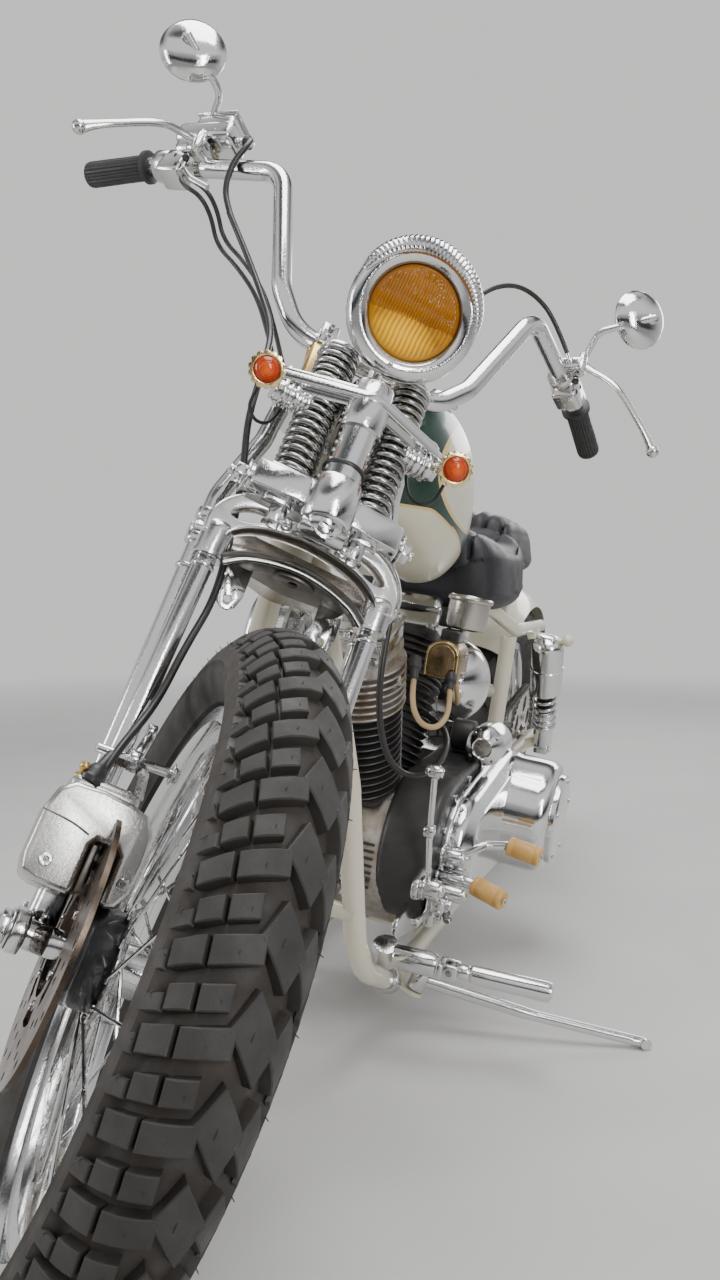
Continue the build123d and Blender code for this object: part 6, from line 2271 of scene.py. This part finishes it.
def lead(name, place, body, points, radius, finish):
    """A cable from one fitting to another, along control points in its body's frame."""
    data = bpy.data.curves.new(name, "CURVE")
    data.dimensions, data.resolution_u, data.bevel_resolution = "3D", 10, 3
    spline = data.splines.new("NURBS")
    spline.points.add(len(points) - 1)
    for point, spot in zip(spline.points, points):
        point.co = (*(place @ Vector(spot)), 1.0)
    spline.order_u, spline.use_endpoint_u = 3, True
    item = bpy.data.objects.new(name, data)
    bpy.context.scene.collection.objects.link(item)
    line = bpy.data.meshes.new_from_object(item)
    bpy.data.meshes.remove(line)
    data.bevel_depth, data.use_fill_caps = radius * 0.001, True
    data.materials.append(finish)
    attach(item, body)


def fitting(name, place, body, first, second, radius, finish):
    """The ferrule or boot where a lead ends, from one point towards another."""
    piece = Piece(name, place, body, "chrome")
    size = (Vector(second) - Vector(first)).length
    form = [
        (0, 0), (radius, 0), (radius * 1.1, size * 0.1), (radius * 1.1, size * 0.5),
        (radius * 0.7, size * 0.6), (radius * 0.7, size), (0, size)
    ]
    piece.add(finish, lathe(form, 20), at=aim(first, Vector(second) - Vector(first)))
    piece.done()


CLUTCH = [
    (284, 40, 1003), (243, 30, 1042), (200, 22, 1054), (160, 10, 1038), (124, -2, 995), (99, -8, 938),
    (80, -8, 880), (66, 0, 822), (55, 14, 766), (41, 20, 706), (22, 18, 650)
]
THROTTLE = [
    (-301, 44, 958), (-304, 28, 938), (-292, 13, 916), (-268, 4, 907), (-246, 20, 900), (-225, 40, 880),
    (-190, 29, 857), (-152, 5, 812), (-120, -2, 762), (-86, 5, 714), (-52, 15, 679), (-22, 16, 650)
]
lead("clutch_cable", *ON_FORK, CLUTCH, 3.4, HOSE)
lead("throttle_cable", *ON_FORK, THROTTLE, 3.0, HOSE)
lead("throttle_return_cable", *ON_FORK, [(x - 4, y + 9, z - 6) for x, y, z in THROTTLE], 3.0, HOSE)
HOSE_TOP = [
    (-226, 17, 898), (-234, 18, 908), (-250, 20, 936), (-255, 8, 970), (-247, -2, 1000), (-246, 5, 1017),
    (-254, 15, 1023)
]
lead("brake_hose_top", *ON_FORK, HOSE_TOP, 4.0, HOSE)
fitting("clutch_cable_ferrule", *ON_FORK, (296, 44, 992), (282, 39, 1005), 5.4, CHROME)
FRONT_LEAD = [
    (92, -196, 560), (96, -208, 540), (104, -214, 516), (116, -206, 498), (130, -184, 492),
    (138, -160, 502), (136, -140, 524), (128, -124, 546)
]
lead("front_plug_lead", *ON_CHASSIS, FRONT_LEAD, 4.2, TAN_LEAD)
fitting("front_plug_boot", *ON_CHASSIS, (84, -176, 586), (93, -198, 558), 8.5, RUBBER)
fitting("front_coil_boot", *ON_CHASSIS, (124, -108, 562), (130, -128, 542), 8.0, RUBBER)
BREATHER = [
    (60, -246, 640), (62, -262, 590), (66, -266, 540), (74, -262, 490), (88, -246, 446), (108, -220, 424),
    (128, -190, 424), (140, -150, 440), (134, -100, 462), (104, -50, 476), (64, -14, 478)
]
lead("breather_hose", *ON_CHASSIS, BREATHER, 4.6, HOSE)
REAR_LEAD = [(120, -60, 548), (122, -36, 520), (116, 0, 500), (100, 30, 506), (84, 44, 530), (72, 48, 556)]
lead("rear_plug_lead", *ON_CHASSIS, REAR_LEAD, 4.2, TAN_LEAD)

# Carried-over solids and the end

CARRIED = {"frame": CREAM_PAINT, "swingarm": CREAM_PAINT, "rear_guard": CREAM_PAINT, "brake_hose": HOSE}
for name, item in frame["nodes"].items():
    for slot in item.material_slots:
        slot.material = CARRIED.get(name, DULL_CHROME)
